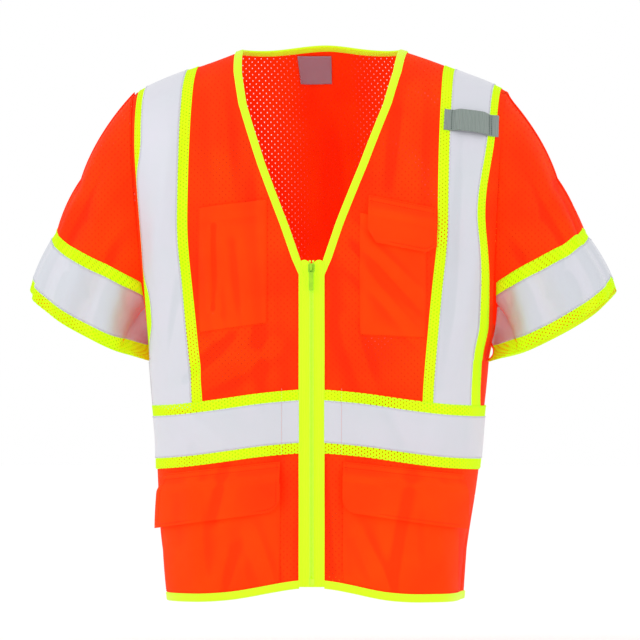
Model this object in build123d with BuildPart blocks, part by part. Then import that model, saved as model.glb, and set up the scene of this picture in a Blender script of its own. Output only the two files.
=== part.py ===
"""High visibility safety vest with zip front, cap sleeves, tapes and pockets.

Frame: millimetres, +Z up, origin midway between the two neck points of the
shoulder line, the zip faces -Y, and +X is the wearer's left side.
"""

import os
from math import atan2, cos, degrees, hypot, pi, radians, sin, sqrt

from build123d import *

os.makedirs("parts", exist_ok=True)

# Body form of the filled vest
SECTION_POWER = 3.5
BLEND_POWER = 12
HALF_DEPTH = 124
SHOULDER_DROP = 280
HALF_WIDTHS = [
    (-700, 174), (-600, 180), (-500, 191), (-420, 199), (-354, 206),
    (-280, 214), (-210, 223), (-150, 232), (-100, 245), (-60, 262), (80, 262),
]

# Layers, as distances out from the inside face of the cloth
CLOTH = (0.0, 0.8)
TRIM = (1.6, 2.2)
TAPE = (2.9, 3.4)
SLEEVE_TRIM = (2.4, 3.0)
SLEEVE_TAPE = (4.0, 4.5)
BINDING = (1.3, 1.9)
LABEL = (-1.4, -0.9)
SEAM_GAP = 0.4

# Widths of the bands
TRIM_WIDTH = 76.2
TAPE_WIDTH = 50.8
TRIM_MARGIN = (TRIM_WIDTH - TAPE_WIDTH) / 2
BINDING_WIDTH = 9.6

# Neck opening and front edges
NECK_X = 94.5
VEE_BOTTOM = -251
VEE = [(VEE_BOTTOM, 14.2), (-210, 28.4), (-138, 56.7), (-65, 82.7), (-26, 91.7), (2, NECK_X)]
BACK_NECK_DROP = 18.9
BACK_BAND_DROP = 25.5
FRONT_EDGE_X = 5.6

# Hem and waist band, lower edges by distance from the middle
HEM = [(0, -643), (35, -646.5), (70, -655), (110, -661), (160, -661), (260, -657)]
WAIST = [(0, -482), (60, -487), (120, -496), (170, -502), (260, -504)]

# Shoulder stripes, inner and outer edges by height
STRIPE_BOTTOM = -418
STRIPE_TURN = -235
STRIPE_IN = [(-421, 132), (-390, 134), (-300, 142), (-228, 150), (-65, 150), (40, 147)]
STRIPE_OUT = [(-421, 191), (-390, 194), (-300, 205), (-228, 212), (-110, 217), (40, 219)]
STRIPE_TAPE_IN = 12.5
STRIPE_TAPE_OUT = 8.5

# Armhole and sleeve, in the front view
UNDERARM_Z = -352
ARMHOLE_X = 207.2
ARMHOLE_SLOPE = 0.0613
PIVOT = (207.2, -372)
SLEEVE_START = 3.6
SLEEVE_END = 58.7
FOLD = [(3.6, 324), (11.1, 285.4), (21.4, 233), (36.8, 192.2), (58.7, 169.6)]
UNDERARM_RADIUS = (18, 3.2)
CUFF_HALF_DEPTH = 54
CUFF_SAG = 17
SLEEVE_BAND = (0.4, TRIM_WIDTH)
SLEEVE_TAPE_BAND = (TRIM_MARGIN, TRIM_MARGIN + TAPE_WIDTH)
BAND_OPENING = 0.9
SEAM_SHARE = 0.95

# Pockets stand off the cloth by POCKET_DEPTH
POCKET_BASE = 1.3
POCKET_DEPTH = 8.2
POCKET_WALL = 0.8
LOOP_PATCH = (10.7, 11.2)
HOOK_PATCH = (11.6, 12.1)
FLAP = (12.5, 13.3)
FLAP_SEAM = 7

# Zip
ZIP_TOP = -252
ZIP_BOTTOM = -641
ZIP_TAPE_X = (0.5, 15.5)
TOOTH_PITCH = 3.0
TOOTH_HEIGHT = 1.1
TOOTH_ROOT = 1.2
TOOTH_BACK = 2.6
TOOTH_TIP = 0.8
TEETH = (2.4, 3.8)
TEETH_TOP = -256
TEETH_BOTTOM = -632
SLIDER_TOP = -256.5
SLIDER_HEIGHT = 11
SLIDER_HALF_WIDTH = 4.0
SLIDER_PLATE = (4.1, 5.1)
SLIDER_BACK = (-0.2, 0.8)
PULL_AXIS_Z = -260.5
PULL_AXIS_OUT = 6.2


def table(rows, value):
    """Read a value between the rows of a short table."""
    if value <= rows[0][0]:
        return rows[0][1]
    for (low, first), (high, second) in zip(rows, rows[1:]):
        if value <= high:
            return first + (second - first) * (value - low) / (high - low)
    return rows[-1][1]


def ease(value):
    """Smooth step from 0 to 1."""
    value = max(0.0, min(1.0, value))
    return value * value * (3 - 2 * value)


def shoulder_height(x):
    return 37.5 - 0.37 * sqrt(x * x + 900)


def gauge(x, y, z):
    """Below 1 inside the body form, 1 on its surface."""
    around = (abs(x) / table(HALF_WIDTHS, z)) ** SECTION_POWER
    around = (around + (abs(y) / HALF_DEPTH) ** SECTION_POWER) ** (1 / SECTION_POWER)
    above = max(0.0, (z - shoulder_height(x) + SHOULDER_DROP) / SHOULDER_DROP)
    over = hypot(above, y / HALF_DEPTH)
    return (around**BLEND_POWER + over**BLEND_POWER) ** (1 / BLEND_POWER)


def meet(start, direction):
    """Where a line from inside the form meets its surface."""
    near, far = 0.0, 500.0
    for _ in range(36):
        middle = (near + far) / 2
        if gauge(*(a + middle * b for a, b in zip(start, direction))) < 1:
            near = middle
        else:
            far = middle
    return tuple(a + near * b for a, b in zip(start, direction))


def lift(point, distance):
    """Move a point of the form's surface out along its normal."""
    step = 0.01
    slope = []
    for axis in range(3):
        ahead = list(point)
        behind = list(point)
        ahead[axis] += step
        behind[axis] -= step
        slope.append(gauge(*ahead) - gauge(*behind))
    length = sqrt(sum(part * part for part in slope))
    return tuple(a + distance * b / length for a, b in zip(point, slope))


def on_front(x, z):
    return meet((x, 0, z), (0, -1, 0))


def on_back(x, z):
    return meet((x, 0, z), (0, 1, 0))


def ridge(x):
    """Height of the shoulder seam."""
    return meet((x, 0, -300), (0, 0, 1))[2]


def sheet(place, runs, steps, inner, outer):
    """A closed sheet: splines along t at each of the runs, ruled between them."""
    skins = []
    for depth in (inner, outer):
        skins.append([
            [Vector(*place(i / runs, j / steps, depth)) for j in range(steps + 1)]
            for i in range(runs + 1)
        ])
    low = [Edge.make_spline(row) for row in skins[0]]
    high = [Edge.make_spline(row) for row in skins[1]]
    first = [Edge.make_line(a[0], b[0]) for a, b in zip(*skins)]
    last = [Edge.make_line(a[-1], b[-1]) for a, b in zip(*skins)]
    faces = []
    for family in (low, high, first, last):
        faces += [Face.make_surface_from_curves(a, b) for a, b in zip(family, family[1:])]
    faces.append(Face.make_surface_from_curves(low[0], high[0]))
    faces.append(Face.make_surface_from_curves(low[-1], high[-1]))
    return Solid(Shell(faces))


def body(point, rise=None):
    """Turn a surface point function into a layered one, with an extra rise."""
    def place(s, t, depth):
        extra = rise(s, t) if rise else 0.0
        return lift(point(s, t), depth + extra)
    return place


def finish(part, name):
    part.part.label = name
    export_step(part.part, f"parts/{name}.step")


def armhole(z):
    return ARMHOLE_X + (z - UNDERARM_Z) * ARMHOLE_SLOPE


def side_limit(z):
    """Outer edge of the panels in the front view."""
    seam = meet((0, 0, z), (1, 0, 0))[0] - 0.05
    return min(seam, armhole(z) - SEAM_GAP) if z > UNDERARM_Z else seam


def hem_line(x):
    """Bottom edge of the panels, inside the hem binding."""
    return table(HEM, abs(x)) + SEAM_GAP


def front_edge(z):
    """Inner edge of a front panel: beside the zip, then along the neck opening."""
    beside_vee = table(VEE, z) + SEAM_GAP
    blend = ease((z - VEE_BOTTOM + 9) / 9)
    return FRONT_EDGE_X + (beside_vee - FRONT_EDGE_X) * blend


def panel_point(side, face, left_edge, top):
    """Point of a panel: s runs to the side seam, t from the hem to the shoulder."""
    def point(s, t):
        share = 1 - (1 - s) ** 2.2
        up = sin(pi * t / 2)
        x = 110
        for _ in range(12):
            z = hem_line(x) + (top(x) - hem_line(x)) * up
            x = left_edge(z) + (side_limit(z) - left_edge(z)) * share
        return meet((side * x, 0, z), (0, face, 0))
    return point


def shoulder_top(x):
    return ridge(x) - 0.05


def back_top(x):
    """Top edge of the back panel, round the neck and along the shoulder."""
    x = abs(x)
    if x >= NECK_X:
        return ridge(x) - 0.05
    return ridge(x) - BACK_NECK_DROP * (1 - (x / NECK_X) ** 2) - 0.05


def stripe_point(side, from_in, from_out):
    """Point of a shoulder stripe: s across it, t over the shoulder."""
    def across(s, z):
        inner = table(STRIPE_IN, z) + from_in
        outer = table(STRIPE_OUT, z) - from_out
        return side * (inner + (outer - inner) * s)

    def point(s, t):
        face = -1 if t < 0.5 else 1
        climb = min(t, 1 - t) / 0.25
        if climb < 1:
            z = STRIPE_BOTTOM + (STRIPE_TURN - STRIPE_BOTTOM) * climb
            return meet((across(s, z), 0, z), (0, face, 0))
        turn = pi * (t - 0.25) / 0.5
        z = STRIPE_TURN
        for _ in range(6):
            found = meet((across(s, z), 0, STRIPE_TURN), (0, -cos(turn), sin(turn)))
            z = found[2]
        return found
    return point


def ring_point(start, end, edge, low, high):
    """Point of a level band: s up its width, t round the body from start to end degrees."""
    def point(s, t):
        turn = radians(start + (end - start) * t)
        x = 0
        for _ in range(5):
            z = table(edge, abs(x)) + low + (high - low) * s
            found = meet((0, 0, z), (sin(turn), -cos(turn), 0))
            x = found[0]
        return found
    return point


def quad_point(side, bottom, top, x_in, x_out, share=lambda t: t):
    """Point of a patch on the front: s up, t from its inner to its outer edge."""
    def point(s, t):
        x = x_in + (x_out - x_in) * share(t)
        z = bottom(x) + (top(x) - bottom(x)) * s
        return on_front(side * x, z)
    return point


def pocket_rise(s, t):
    """Stand-off of a pocket that is sewn down at its sides and bottom."""
    return POCKET_DEPTH * (1 - abs(2 * t - 1) ** 8) * (1 - (1 - s) ** 10)


# ---------------------------------------------------------------- cloth shell
with BuildPart() as back_panel:
    def back_point(s, t):
        across = 2 * s - 1
        side = 1 if across >= 0 else -1
        return panel_point(side, 1, lambda z: 0, back_top)(1 - (1 - abs(across)) ** 0.75, t)
    add(sheet(body(back_point), 36, 64, *CLOTH))
finish(back_panel, "back_panel")

for side, hand in ((1, "left"), (-1, "right")):
    with BuildPart() as front_panel:
        add(sheet(body(panel_point(side, -1, front_edge, shoulder_top)), 18, 56, *CLOTH))
    finish(front_panel, f"front_panel_{hand}")


# -------------------------------------------------------------------- sleeves
def armhole_depth(along):
    """Half-depth of the armhole by distance from the sleeve's pivot."""
    start = radians(SLEEVE_START)
    x = PIVOT[0] + along * sin(start)
    z = PIVOT[1] + along * cos(start)
    return -on_front(x, z)[1]


def sleeve_surface(turn, beta):
    """Sleeve point from its turn in degrees and its place round the section."""
    share = (turn - SLEEVE_START) / (SLEEVE_END - SLEEVE_START)
    near = UNDERARM_RADIUS[0] + (UNDERARM_RADIUS[1] - UNDERARM_RADIUS[0]) * share
    far = table(FOLD, turn)
    along = near + (far - near) * (1 + cos(beta)) / 2
    lens = armhole_depth(UNDERARM_RADIUS[0] + (FOLD[0][1] - UNDERARM_RADIUS[0]) * (1 + cos(beta)) / 2)
    lens = lens if sin(beta) >= 0 else -lens
    depth = lens * (1 - ease(share)) + CUFF_HALF_DEPTH * sin(beta) * ease(share)
    sag = CUFF_SAG * abs(sin(beta)) * (0.85 + 0.22 * cos(beta)) * ease(share)
    angle = radians(turn) + sag / along
    return (PIVOT[0] + along * sin(angle), -depth, PIVOT[1] + along * cos(angle))


def sleeve_lift(turn, beta, distance):
    """Sleeve point moved out along the normal of its section plane."""
    here = sleeve_surface(turn, beta)
    ahead = sleeve_surface(turn, beta + 0.02)
    behind = sleeve_surface(turn, beta - 0.02)
    angle = radians(turn)
    run = [b - a for a, b in zip(behind, ahead)]
    radial = run[0] * sin(angle) + run[2] * cos(angle)
    length = hypot(radial, run[1]) or 1.0
    out_radial = -run[1] / length
    out_depth = radial / length
    return (
        here[0] + distance * out_radial * sin(angle),
        here[1] + distance * out_depth,
        here[2] + distance * out_radial * cos(angle),
    )


def reach(turn, beta):
    """Distance of a sleeve point from the cuff line, in the front view."""
    share = (turn - SLEEVE_START) / (SLEEVE_END - SLEEVE_START)
    near = UNDERARM_RADIUS[0] + (UNDERARM_RADIUS[1] - UNDERARM_RADIUS[0]) * share
    along = near + (table(FOLD, turn) - near) * (1 + cos(beta)) / 2
    return along * sin(radians(SLEEVE_END - turn))


def turn_at(distance, beta):
    """Turn at which a sleeve point is that far from the cuff line."""
    low, high = SLEEVE_START, SLEEVE_END
    for _ in range(24):
        middle = (low + high) / 2
        if reach(middle, beta) > distance:
            low = middle
        else:
            high = middle
    return high


def sleeve_band(side, low, high):
    """Layered sleeve band: s up from the cuff until it meets the armhole, t round the sleeve."""
    def place(s, t, depth):
        beta = (2 * t - 1) * (pi - BAND_OPENING)
        top = min(high, SEAM_SHARE * reach(SLEEVE_START, beta))
        x, y, z = sleeve_lift(turn_at(low + (top - low) * s, beta), beta, depth)
        return (side * x, y, z)
    return place


def sleeve_cloth(side):
    def place(s, t, depth):
        beta = -pi + 0.06 + (2 * pi - 0.12) * t
        turn = SLEEVE_START + (SLEEVE_END - SLEEVE_START) * s
        x, y, z = sleeve_lift(turn, beta, depth)
        return (side * x, y, z)
    return place


for side, hand in ((1, "left"), (-1, "right")):
    with BuildPart() as sleeve:
        add(sheet(sleeve_cloth(side), 12, 44, *CLOTH))
    finish(sleeve, f"sleeve_{hand}")
    with BuildPart() as sleeve_trim:
        add(sheet(sleeve_band(side, *SLEEVE_BAND), 6, 56, *SLEEVE_TRIM))
    finish(sleeve_trim, f"sleeve_trim_{hand}")
    with BuildPart() as sleeve_tape:
        add(sheet(sleeve_band(side, *SLEEVE_TAPE_BAND), 5, 56, *SLEEVE_TAPE))
    finish(sleeve_tape, f"sleeve_tape_{hand}")

# ------------------------------------------------------------ bands and tapes
for side, hand in ((1, "left"), (-1, "right")):
    with BuildPart() as shoulder_trim:
        add(sheet(body(stripe_point(side, 0, 0)), 8, 40, *TRIM))
    finish(shoulder_trim, f"shoulder_trim_{hand}")
    with BuildPart() as shoulder_tape:
        add(sheet(body(stripe_point(side, STRIPE_TAPE_IN, STRIPE_TAPE_OUT)), 6, 40, *TAPE))
    finish(shoulder_tape, f"shoulder_tape_{hand}")

ZIP_SIDE = degrees(atan2(ZIP_TAPE_X[1] + 0.6, 117))
SEAM_SIDE = 89.9
waist_runs = {
    "front_left": (ZIP_SIDE, SEAM_SIDE),
    "front_right": (-SEAM_SIDE, -ZIP_SIDE),
    "back": (180 - SEAM_SIDE, 180 + SEAM_SIDE),
}
for name, (start, end) in waist_runs.items():
    steps = 20 if name != "back" else 36
    with BuildPart() as waist_trim:
        add(sheet(body(ring_point(start, end, WAIST, 0, TRIM_WIDTH)), 1, steps, *TRIM))
    finish(waist_trim, f"waist_trim_{name}")
    with BuildPart() as waist_tape:
        band = ring_point(start, end, WAIST, TRIM_MARGIN, TRIM_MARGIN + TAPE_WIDTH)
        add(sheet(body(band), 1, steps, *TAPE))
    finish(waist_tape, f"waist_tape_{name}")

with BuildPart() as hem_binding:
    hem_band = ring_point(ZIP_SIDE, 360 - ZIP_SIDE, HEM, 0, BINDING_WIDTH)
    add(sheet(body(hem_band), 1, 60, *BINDING))
finish(hem_binding, "hem_binding")


def neck_point(s, t):
    """Neck binding: s across its width, t up one side, round the back and down."""
    turn = 3 * t
    side = 1 if turn < 1.5 else -1
    if 1 <= turn <= 2:
        swing = cos(pi * (turn - 1))
        half = NECK_X + BINDING_WIDTH * s
        x = half * swing
        drop = BACK_NECK_DROP + (BACK_BAND_DROP - BACK_NECK_DROP) * s
        return on_back(x, ridge(x) - drop * (1 - swing * swing))
    up = turn if turn < 1 else 3 - turn
    top = ridge(NECK_X + BINDING_WIDTH * s)
    z = VEE_BOTTOM + (top - VEE_BOTTOM) * sin(pi * up / 2)
    x = table(VEE, z) + (BINDING_WIDTH + 0.6 * (1 - up)) * s
    if up == 1:
        x = NECK_X + BINDING_WIDTH * s
    return on_front(side * x, z)


with BuildPart() as neck_binding:
    add(sheet(body(neck_point), 1, 60, *BINDING))
finish(neck_binding, "neck_binding")


# -------------------------------------------------------------------- pockets
def line(x_start, z_start, x_end, z_end):
    """Height along a straight edge."""
    def height(x):
        return z_start + (z_end - z_start) * (x - x_start) / (x_end - x_start)
    return height


def spread(t):
    """Closer steps near both side edges of a pocket."""
    return (1 - cos(pi * t)) / 2


def pocket(side, bottom, top, x_in, x_out):
    """One pocket front with its gusset, open at the top."""
    flat = quad_point(side, bottom, top, x_in, x_out, spread)

    def place(s, t, depth):
        up = 1 - (1 - s) ** 2
        return lift(flat(up, t), depth + pocket_rise(up, spread(t)))
    return sheet(place, 7, 20, POCKET_BASE, POCKET_BASE + POCKET_WALL)


def flap_seam(side, top, x_in, x_out):
    """The sewn strip of a flap, sloping out from the cloth to the fold."""
    def lower(x):
        return top(x) - FLAP_SEAM
    reach = FLAP[0] - POCKET_BASE
    flat = quad_point(side, lower, top, x_in, x_out)
    return sheet(body(flat, lambda s, t: reach * (1 - s)), 2, 12, POCKET_BASE, POCKET_BASE + 0.8)


def flap_leaf(side, bottom, top, x_in, x_out):
    """The free part of a flap, below its fold."""
    def upper(x):
        return top(x) - FLAP_SEAM - SEAM_GAP
    return sheet(body(quad_point(side, bottom, upper, x_in, x_out)), 5, 24, *FLAP)


def patch(side, bottom, top, x_in, x_out, layer):
    return sheet(body(quad_point(side, bottom, top, x_in, x_out)), 3, 10, *layer)


CHEST_LEFT_IN, CHEST_LEFT_OUT = 58, 136
CHEST_FLAP_IN, CHEST_FLAP_OUT = 68, 148.5
chest_left_bottom = line(58, -342, 138, -346)
chest_left_top = line(58, -196, 138, -212)
chest_flap_top = line(68, -175, 148.5, -191)


def chest_flap_bottom(x):
    """Lower edge with clipped corners."""
    inner_corner = 14 * max(0.0, 1 - (x - CHEST_FLAP_IN) / 10)
    outer_corner = 9 * max(0.0, 1 - (CHEST_FLAP_OUT - x) / 12)
    return line(68, -230, 148.5, -246)(x) + inner_corner + outer_corner


with BuildPart() as chest_pocket_left:
    add(pocket(1, chest_left_bottom, chest_left_top, CHEST_LEFT_IN, CHEST_LEFT_OUT))
finish(chest_pocket_left, "chest_pocket_left")
with BuildPart() as chest_flap_seam:
    add(flap_seam(1, chest_flap_top, CHEST_FLAP_IN, CHEST_FLAP_OUT))
finish(chest_flap_seam, "chest_flap_seam")
with BuildPart() as chest_flap:
    add(flap_leaf(1, chest_flap_bottom, chest_flap_top, CHEST_FLAP_IN, CHEST_FLAP_OUT))
finish(chest_flap, "chest_flap")
with BuildPart() as chest_pocket_loop:
    add(patch(1, line(80, -236, 125, -242), line(80, -220, 125, -226), 80, 125, LOOP_PATCH))
finish(chest_pocket_loop, "chest_pocket_loop")
with BuildPart() as chest_flap_hook:
    add(patch(1, line(80, -231, 125, -238), line(80, -217, 125, -224), 80, 125, HOOK_PATCH))
finish(chest_flap_hook, "chest_flap_hook")

PEN_X = 117
chest_right_bottom = line(45, -327, 139, -340)
chest_right_top = line(59, -181, 148, -192)
with BuildPart() as chest_pocket_right:
    add(pocket(-1, chest_right_bottom, chest_right_top, 54, 136))
finish(chest_pocket_right, "chest_pocket_right")
with BuildPart() as pen_divider:
    add(sheet(
        body(quad_point(-1, line(0, -296, 200, -300), line(0, -226, 200, -228), PEN_X - 0.6, PEN_X + 0.6)),
        8, 2, POCKET_BASE + 0.3, POCKET_BASE + POCKET_DEPTH - 1.6,
    ))
finish(pen_divider, "pen_divider")

HIP_IN, HIP_OUT = 38, 176
HIP_FLAP_OUT = 179
hip_flap_top = line(38, -493, 179, -508.5)
hip_pocket_top = line(38, -519, 176, -533)


def hip_pocket_bottom(x):
    return hem_line(x) + BINDING_WIDTH + 0.8


def hip_flap_bottom(x):
    """Lower edge with a rounded inner corner."""
    corner = 14 * max(0.0, 1 - (x - HIP_IN) / 12) ** 2
    return line(38, -553, 179, -573)(x) + corner


for side, hand in ((1, "left"), (-1, "right")):
    with BuildPart() as hip_pocket:
        add(pocket(side, hip_pocket_bottom, hip_pocket_top, HIP_IN, HIP_OUT))
    finish(hip_pocket, f"hip_pocket_{hand}")
    with BuildPart() as hip_flap_seam:
        add(flap_seam(side, hip_flap_top, HIP_IN, HIP_FLAP_OUT))
    finish(hip_flap_seam, f"hip_flap_seam_{hand}")
    with BuildPart() as hip_flap:
        add(flap_leaf(side, hip_flap_bottom, hip_flap_top, HIP_IN, HIP_FLAP_OUT))
    finish(hip_flap, f"hip_flap_{hand}")
    with BuildPart() as hip_pocket_loop:
        add(patch(side, line(60, -560, 150, -569), line(60, -544, 150, -553), 70, 130, LOOP_PATCH))
    finish(hip_pocket_loop, f"hip_pocket_loop_{hand}")
    with BuildPart() as hip_flap_hook:
        add(patch(side, line(60, -552, 150, -561), line(60, -536, 150, -545), 70, 130, HOOK_PATCH))
    finish(hip_flap_hook, f"hip_flap_hook_{hand}")

# ------------------------------------------------------- microphone tab, label
MIC_TAB_IN, MIC_TAB_OUT = 155, 218
MIC_TAB_BULGE = 6.6
MIC_TAB_THICK = 1.4


def mic_tab_rise(s, t):
    """Both ends sewn flat, the middle standing off as a loop."""
    return MIC_TAB_BULGE * ease((t - 0.14) / 0.16) * ease((0.86 - t) / 0.16)


with BuildPart() as mic_tab:
    tab = quad_point(1, line(155, -98, 218, -106), line(155, -74, 218, -81), MIC_TAB_IN, MIC_TAB_OUT)
    add(sheet(body(tab, mic_tab_rise), 6, 28, TAPE[1] + 0.4, TAPE[1] + 0.4 + MIC_TAB_THICK))
finish(mic_tab, "mic_tab")

with BuildPart() as size_label:
    def label_point(s, t):
        x = -35.5 + 41 * t
        return on_back(x, -37 + 33 * s)
    add(sheet(body(label_point), 3, 6, *LABEL))
finish(size_label, "size_label")

# ------------------------------------------------------------------------ zip
FRONT_Y = on_front(0, -450)[1]


def zip_layer(layer):
    """Plane at the back of a zip layer, and its thickness."""
    return Plane.XZ.offset(-FRONT_Y + layer[0]), layer[1] - layer[0]


for side, hand in ((1, "left"), (-1, "right")):
    with BuildPart() as zipper_tape:
        plane, thick = zip_layer(TRIM)
        with BuildSketch(plane):
            middle = side * (ZIP_TAPE_X[0] + ZIP_TAPE_X[1]) / 2
            with Locations((middle, (ZIP_TOP + ZIP_BOTTOM) / 2)):
                Rectangle(ZIP_TAPE_X[1] - ZIP_TAPE_X[0], ZIP_TOP - ZIP_BOTTOM)
        extrude(amount=thick)
        outer_edges = zipper_tape.edges().filter_by(Axis.Y).sort_by(Axis.X)
        chosen = outer_edges[-2:] if side > 0 else outer_edges[:2]
        fillet(chosen.sort_by(Axis.Z)[-1], 6)
    finish(zipper_tape, f"zipper_tape_{hand}")

    with BuildPart() as zipper_teeth:
        plane, thick = zip_layer(TEETH)
        start = TEETH_TOP - (0 if side > 0 else TOOTH_PITCH / 2)
        count = int((start - TEETH_BOTTOM) / TOOTH_PITCH)
        outline = [(side * TOOTH_BACK, TEETH_TOP)]
        outline.append((side * TOOTH_ROOT, TEETH_TOP))
        for number in range(count):
            top = start - number * TOOTH_PITCH - 0.2
            outline.append((side * TOOTH_ROOT, top))
            outline.append((-side * TOOTH_TIP, top - 0.15))
            outline.append((-side * TOOTH_TIP, top - TOOTH_HEIGHT + 0.15))
            outline.append((side * TOOTH_ROOT, top - TOOTH_HEIGHT))
        outline.append((side * TOOTH_ROOT, TEETH_BOTTOM))
        outline.append((side * TOOTH_BACK, TEETH_BOTTOM))
        with BuildSketch(plane):
            with BuildLine():
                Polyline(*outline, close=True)
            make_face()
        extrude(amount=thick)
    finish(zipper_teeth, f"zipper_teeth_{hand}")

    with BuildPart() as zipper_stop:
        plane, thick = zip_layer(TEETH)
        with BuildSketch(plane):
            with Locations((side * 2.0, TEETH_TOP + 2.0)):
                Rectangle(2.4, 2.6)
        extrude(amount=thick)
    finish(zipper_stop, f"zipper_stop_{hand}")

SLIDER_BOTTOM = SLIDER_TOP - SLIDER_HEIGHT
SLIDER_MIDDLE = (SLIDER_TOP + SLIDER_BOTTOM) / 2
BAIL_HALF_WIDTH = 1.2
BAIL_OUT = (SLIDER_PLATE[1], SLIDER_PLATE[1] + 3.2)

with BuildPart() as zipper_slider:
    plane, thick = zip_layer(SLIDER_PLATE)
    with BuildSketch(plane):
        with Locations((0, SLIDER_MIDDLE)):
            RectangleRounded(2 * SLIDER_HALF_WIDTH, SLIDER_HEIGHT, 2)
    extrude(amount=thick)
    plane, thick = zip_layer((TEETH[0] + 0.3, SLIDER_PLATE[0]))
    with BuildSketch(plane):
        for side in (1, -1):
            with Locations((side * (SLIDER_HALF_WIDTH - 0.45), SLIDER_MIDDLE)):
                Rectangle(0.9, SLIDER_HEIGHT - 4)
    extrude(amount=thick)
    with BuildSketch(Plane.YZ.offset(-BAIL_HALF_WIDTH)):
        bail_z = PULL_AXIS_Z - 0.9
        with Locations((FRONT_Y - sum(BAIL_OUT) / 2, bail_z)):
            Rectangle(BAIL_OUT[1] - BAIL_OUT[0], 7.4)
        with Locations((FRONT_Y - BAIL_OUT[0] - 1.1, bail_z)):
            Rectangle(2.2, 5.2, mode=Mode.SUBTRACT)
    extrude(amount=2 * BAIL_HALF_WIDTH)
finish(zipper_slider, "zipper_slider")

with BuildPart() as zipper_slider_back:
    plane, thick = zip_layer(SLIDER_BACK)
    with BuildSketch(plane):
        with Locations((0, SLIDER_MIDDLE)):
            RectangleRounded(2 * SLIDER_HALF_WIDTH, SLIDER_HEIGHT, 2)
    extrude(amount=thick)
finish(zipper_slider_back, "zipper_slider_back")

PULL_THICK = 1.2
PULL_LENGTH = 29
PULL_WIDTH = 5.6
with BuildPart() as zipper_pull:
    plane, thick = zip_layer((PULL_AXIS_OUT - PULL_THICK / 2, PULL_AXIS_OUT + PULL_THICK / 2))
    with BuildSketch(plane):
        with Locations((0, PULL_AXIS_Z + 0.6 - PULL_LENGTH / 2)):
            RectangleRounded(PULL_WIDTH, PULL_LENGTH, 0.55)
        with Locations((0, PULL_AXIS_Z - 3.4)):
            Rectangle(3.6, 5.6, mode=Mode.SUBTRACT)
    extrude(amount=thick)
finish(zipper_pull, "zipper_pull")

PIN_X = -1.6
PIN_SIZE = 1.2
BOX_TOP = -633
with BuildPart() as zipper_box:
    plane, thick = zip_layer(TEETH)
    with BuildSketch(plane):
        with Locations((0.1, (BOX_TOP + ZIP_BOTTOM) / 2)):
            Rectangle(6.6, BOX_TOP - ZIP_BOTTOM)
        with Locations((PIN_X, (BOX_TOP + ZIP_BOTTOM) / 2 + 1)):
            Rectangle(PIN_SIZE + 0.3, BOX_TOP - ZIP_BOTTOM, mode=Mode.SUBTRACT)
    extrude(amount=thick)
finish(zipper_box, "zipper_box")

with BuildPart() as zipper_pin:
    plane, thick = zip_layer((TEETH[0] + 0.1, TEETH[0] + 0.1 + PIN_SIZE))
    with BuildSketch(plane):
        with Locations((PIN_X, (BOX_TOP + 0.7 + ZIP_BOTTOM + 1.4) / 2)):
            Rectangle(PIN_SIZE, BOX_TOP + 0.7 - ZIP_BOTTOM - 1.4)
    extrude(amount=thick)
finish(zipper_pin, "zipper_pin")
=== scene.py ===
"""High visibility safety vest: mesh cloth, reflective tapes, lime trims, pockets and zip.

Shapes are worked out in millimetres on the same body form as the CAD, and turned
into metres as each mesh is made.
"""

import math

import bpy
import numpy as np
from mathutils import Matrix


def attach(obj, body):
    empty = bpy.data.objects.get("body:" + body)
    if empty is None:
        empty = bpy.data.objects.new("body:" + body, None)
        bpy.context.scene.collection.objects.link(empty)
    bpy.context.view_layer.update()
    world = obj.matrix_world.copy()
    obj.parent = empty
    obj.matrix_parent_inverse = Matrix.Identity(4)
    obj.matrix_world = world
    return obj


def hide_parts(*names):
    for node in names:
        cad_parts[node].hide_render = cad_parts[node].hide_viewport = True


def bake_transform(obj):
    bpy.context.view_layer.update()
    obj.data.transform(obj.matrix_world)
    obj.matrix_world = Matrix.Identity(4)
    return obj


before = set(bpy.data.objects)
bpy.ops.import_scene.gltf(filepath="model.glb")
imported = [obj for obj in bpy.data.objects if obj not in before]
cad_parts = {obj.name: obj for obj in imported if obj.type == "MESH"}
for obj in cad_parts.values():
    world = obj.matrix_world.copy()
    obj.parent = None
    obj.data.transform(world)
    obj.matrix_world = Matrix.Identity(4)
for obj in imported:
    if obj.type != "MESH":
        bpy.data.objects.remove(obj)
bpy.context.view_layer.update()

MM = 0.001
# Wearer's sides: sign of x and name
SIDES = ((1, "left"), (-1, "right"))

# ------------------------------------------------------------------ body form
SECTION_POWER = 3.5
BLEND_POWER = 12
HALF_DEPTH = 124
SHOULDER_DROP = 280
HALF_WIDTHS = [
    (-700, 174), (-600, 180), (-500, 191), (-420, 199), (-354, 206),
    (-280, 214), (-210, 223), (-150, 232), (-100, 245), (-60, 262), (80, 262),
]
NECK_X = 94.5
VEE_BOTTOM = -251
VEE = [(VEE_BOTTOM, 14.2), (-210, 28.4), (-138, 56.7), (-65, 82.7), (-26, 91.7), (2, NECK_X)]
BACK_NECK_DROP = 18.9
FRONT_EDGE_X = 5.6
FRONT_Y = -117.04
HEM = [(0, -643), (35, -646.5), (70, -655), (110, -661), (160, -661), (260, -657)]
WAIST = [(0, -482), (60, -487), (120, -496), (170, -502), (260, -504)]
STRIPE_BOTTOM = -431
STRIPE_TURN = -235
STRIPE_IN = [(-421, 132), (-390, 134), (-300, 142), (-228, 150), (-65, 150), (40, 147)]
STRIPE_OUT = {
    1: [(-432, 196.5), (-390, 200.8), (-345, 204.5), (-312, 206.5), (-252, 208), (-222, 205), (-192, 203),
        (-132, 211), (-110, 216), (40, 219)],
    -1: [(-432, 196.5), (-390, 200.5), (-345, 203), (-300, 206), (-228, 210), (-110, 219), (40, 222)],
}
STRIPE_TAPE_IN = 12.5
STRIPE_ROWS = 260
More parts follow.
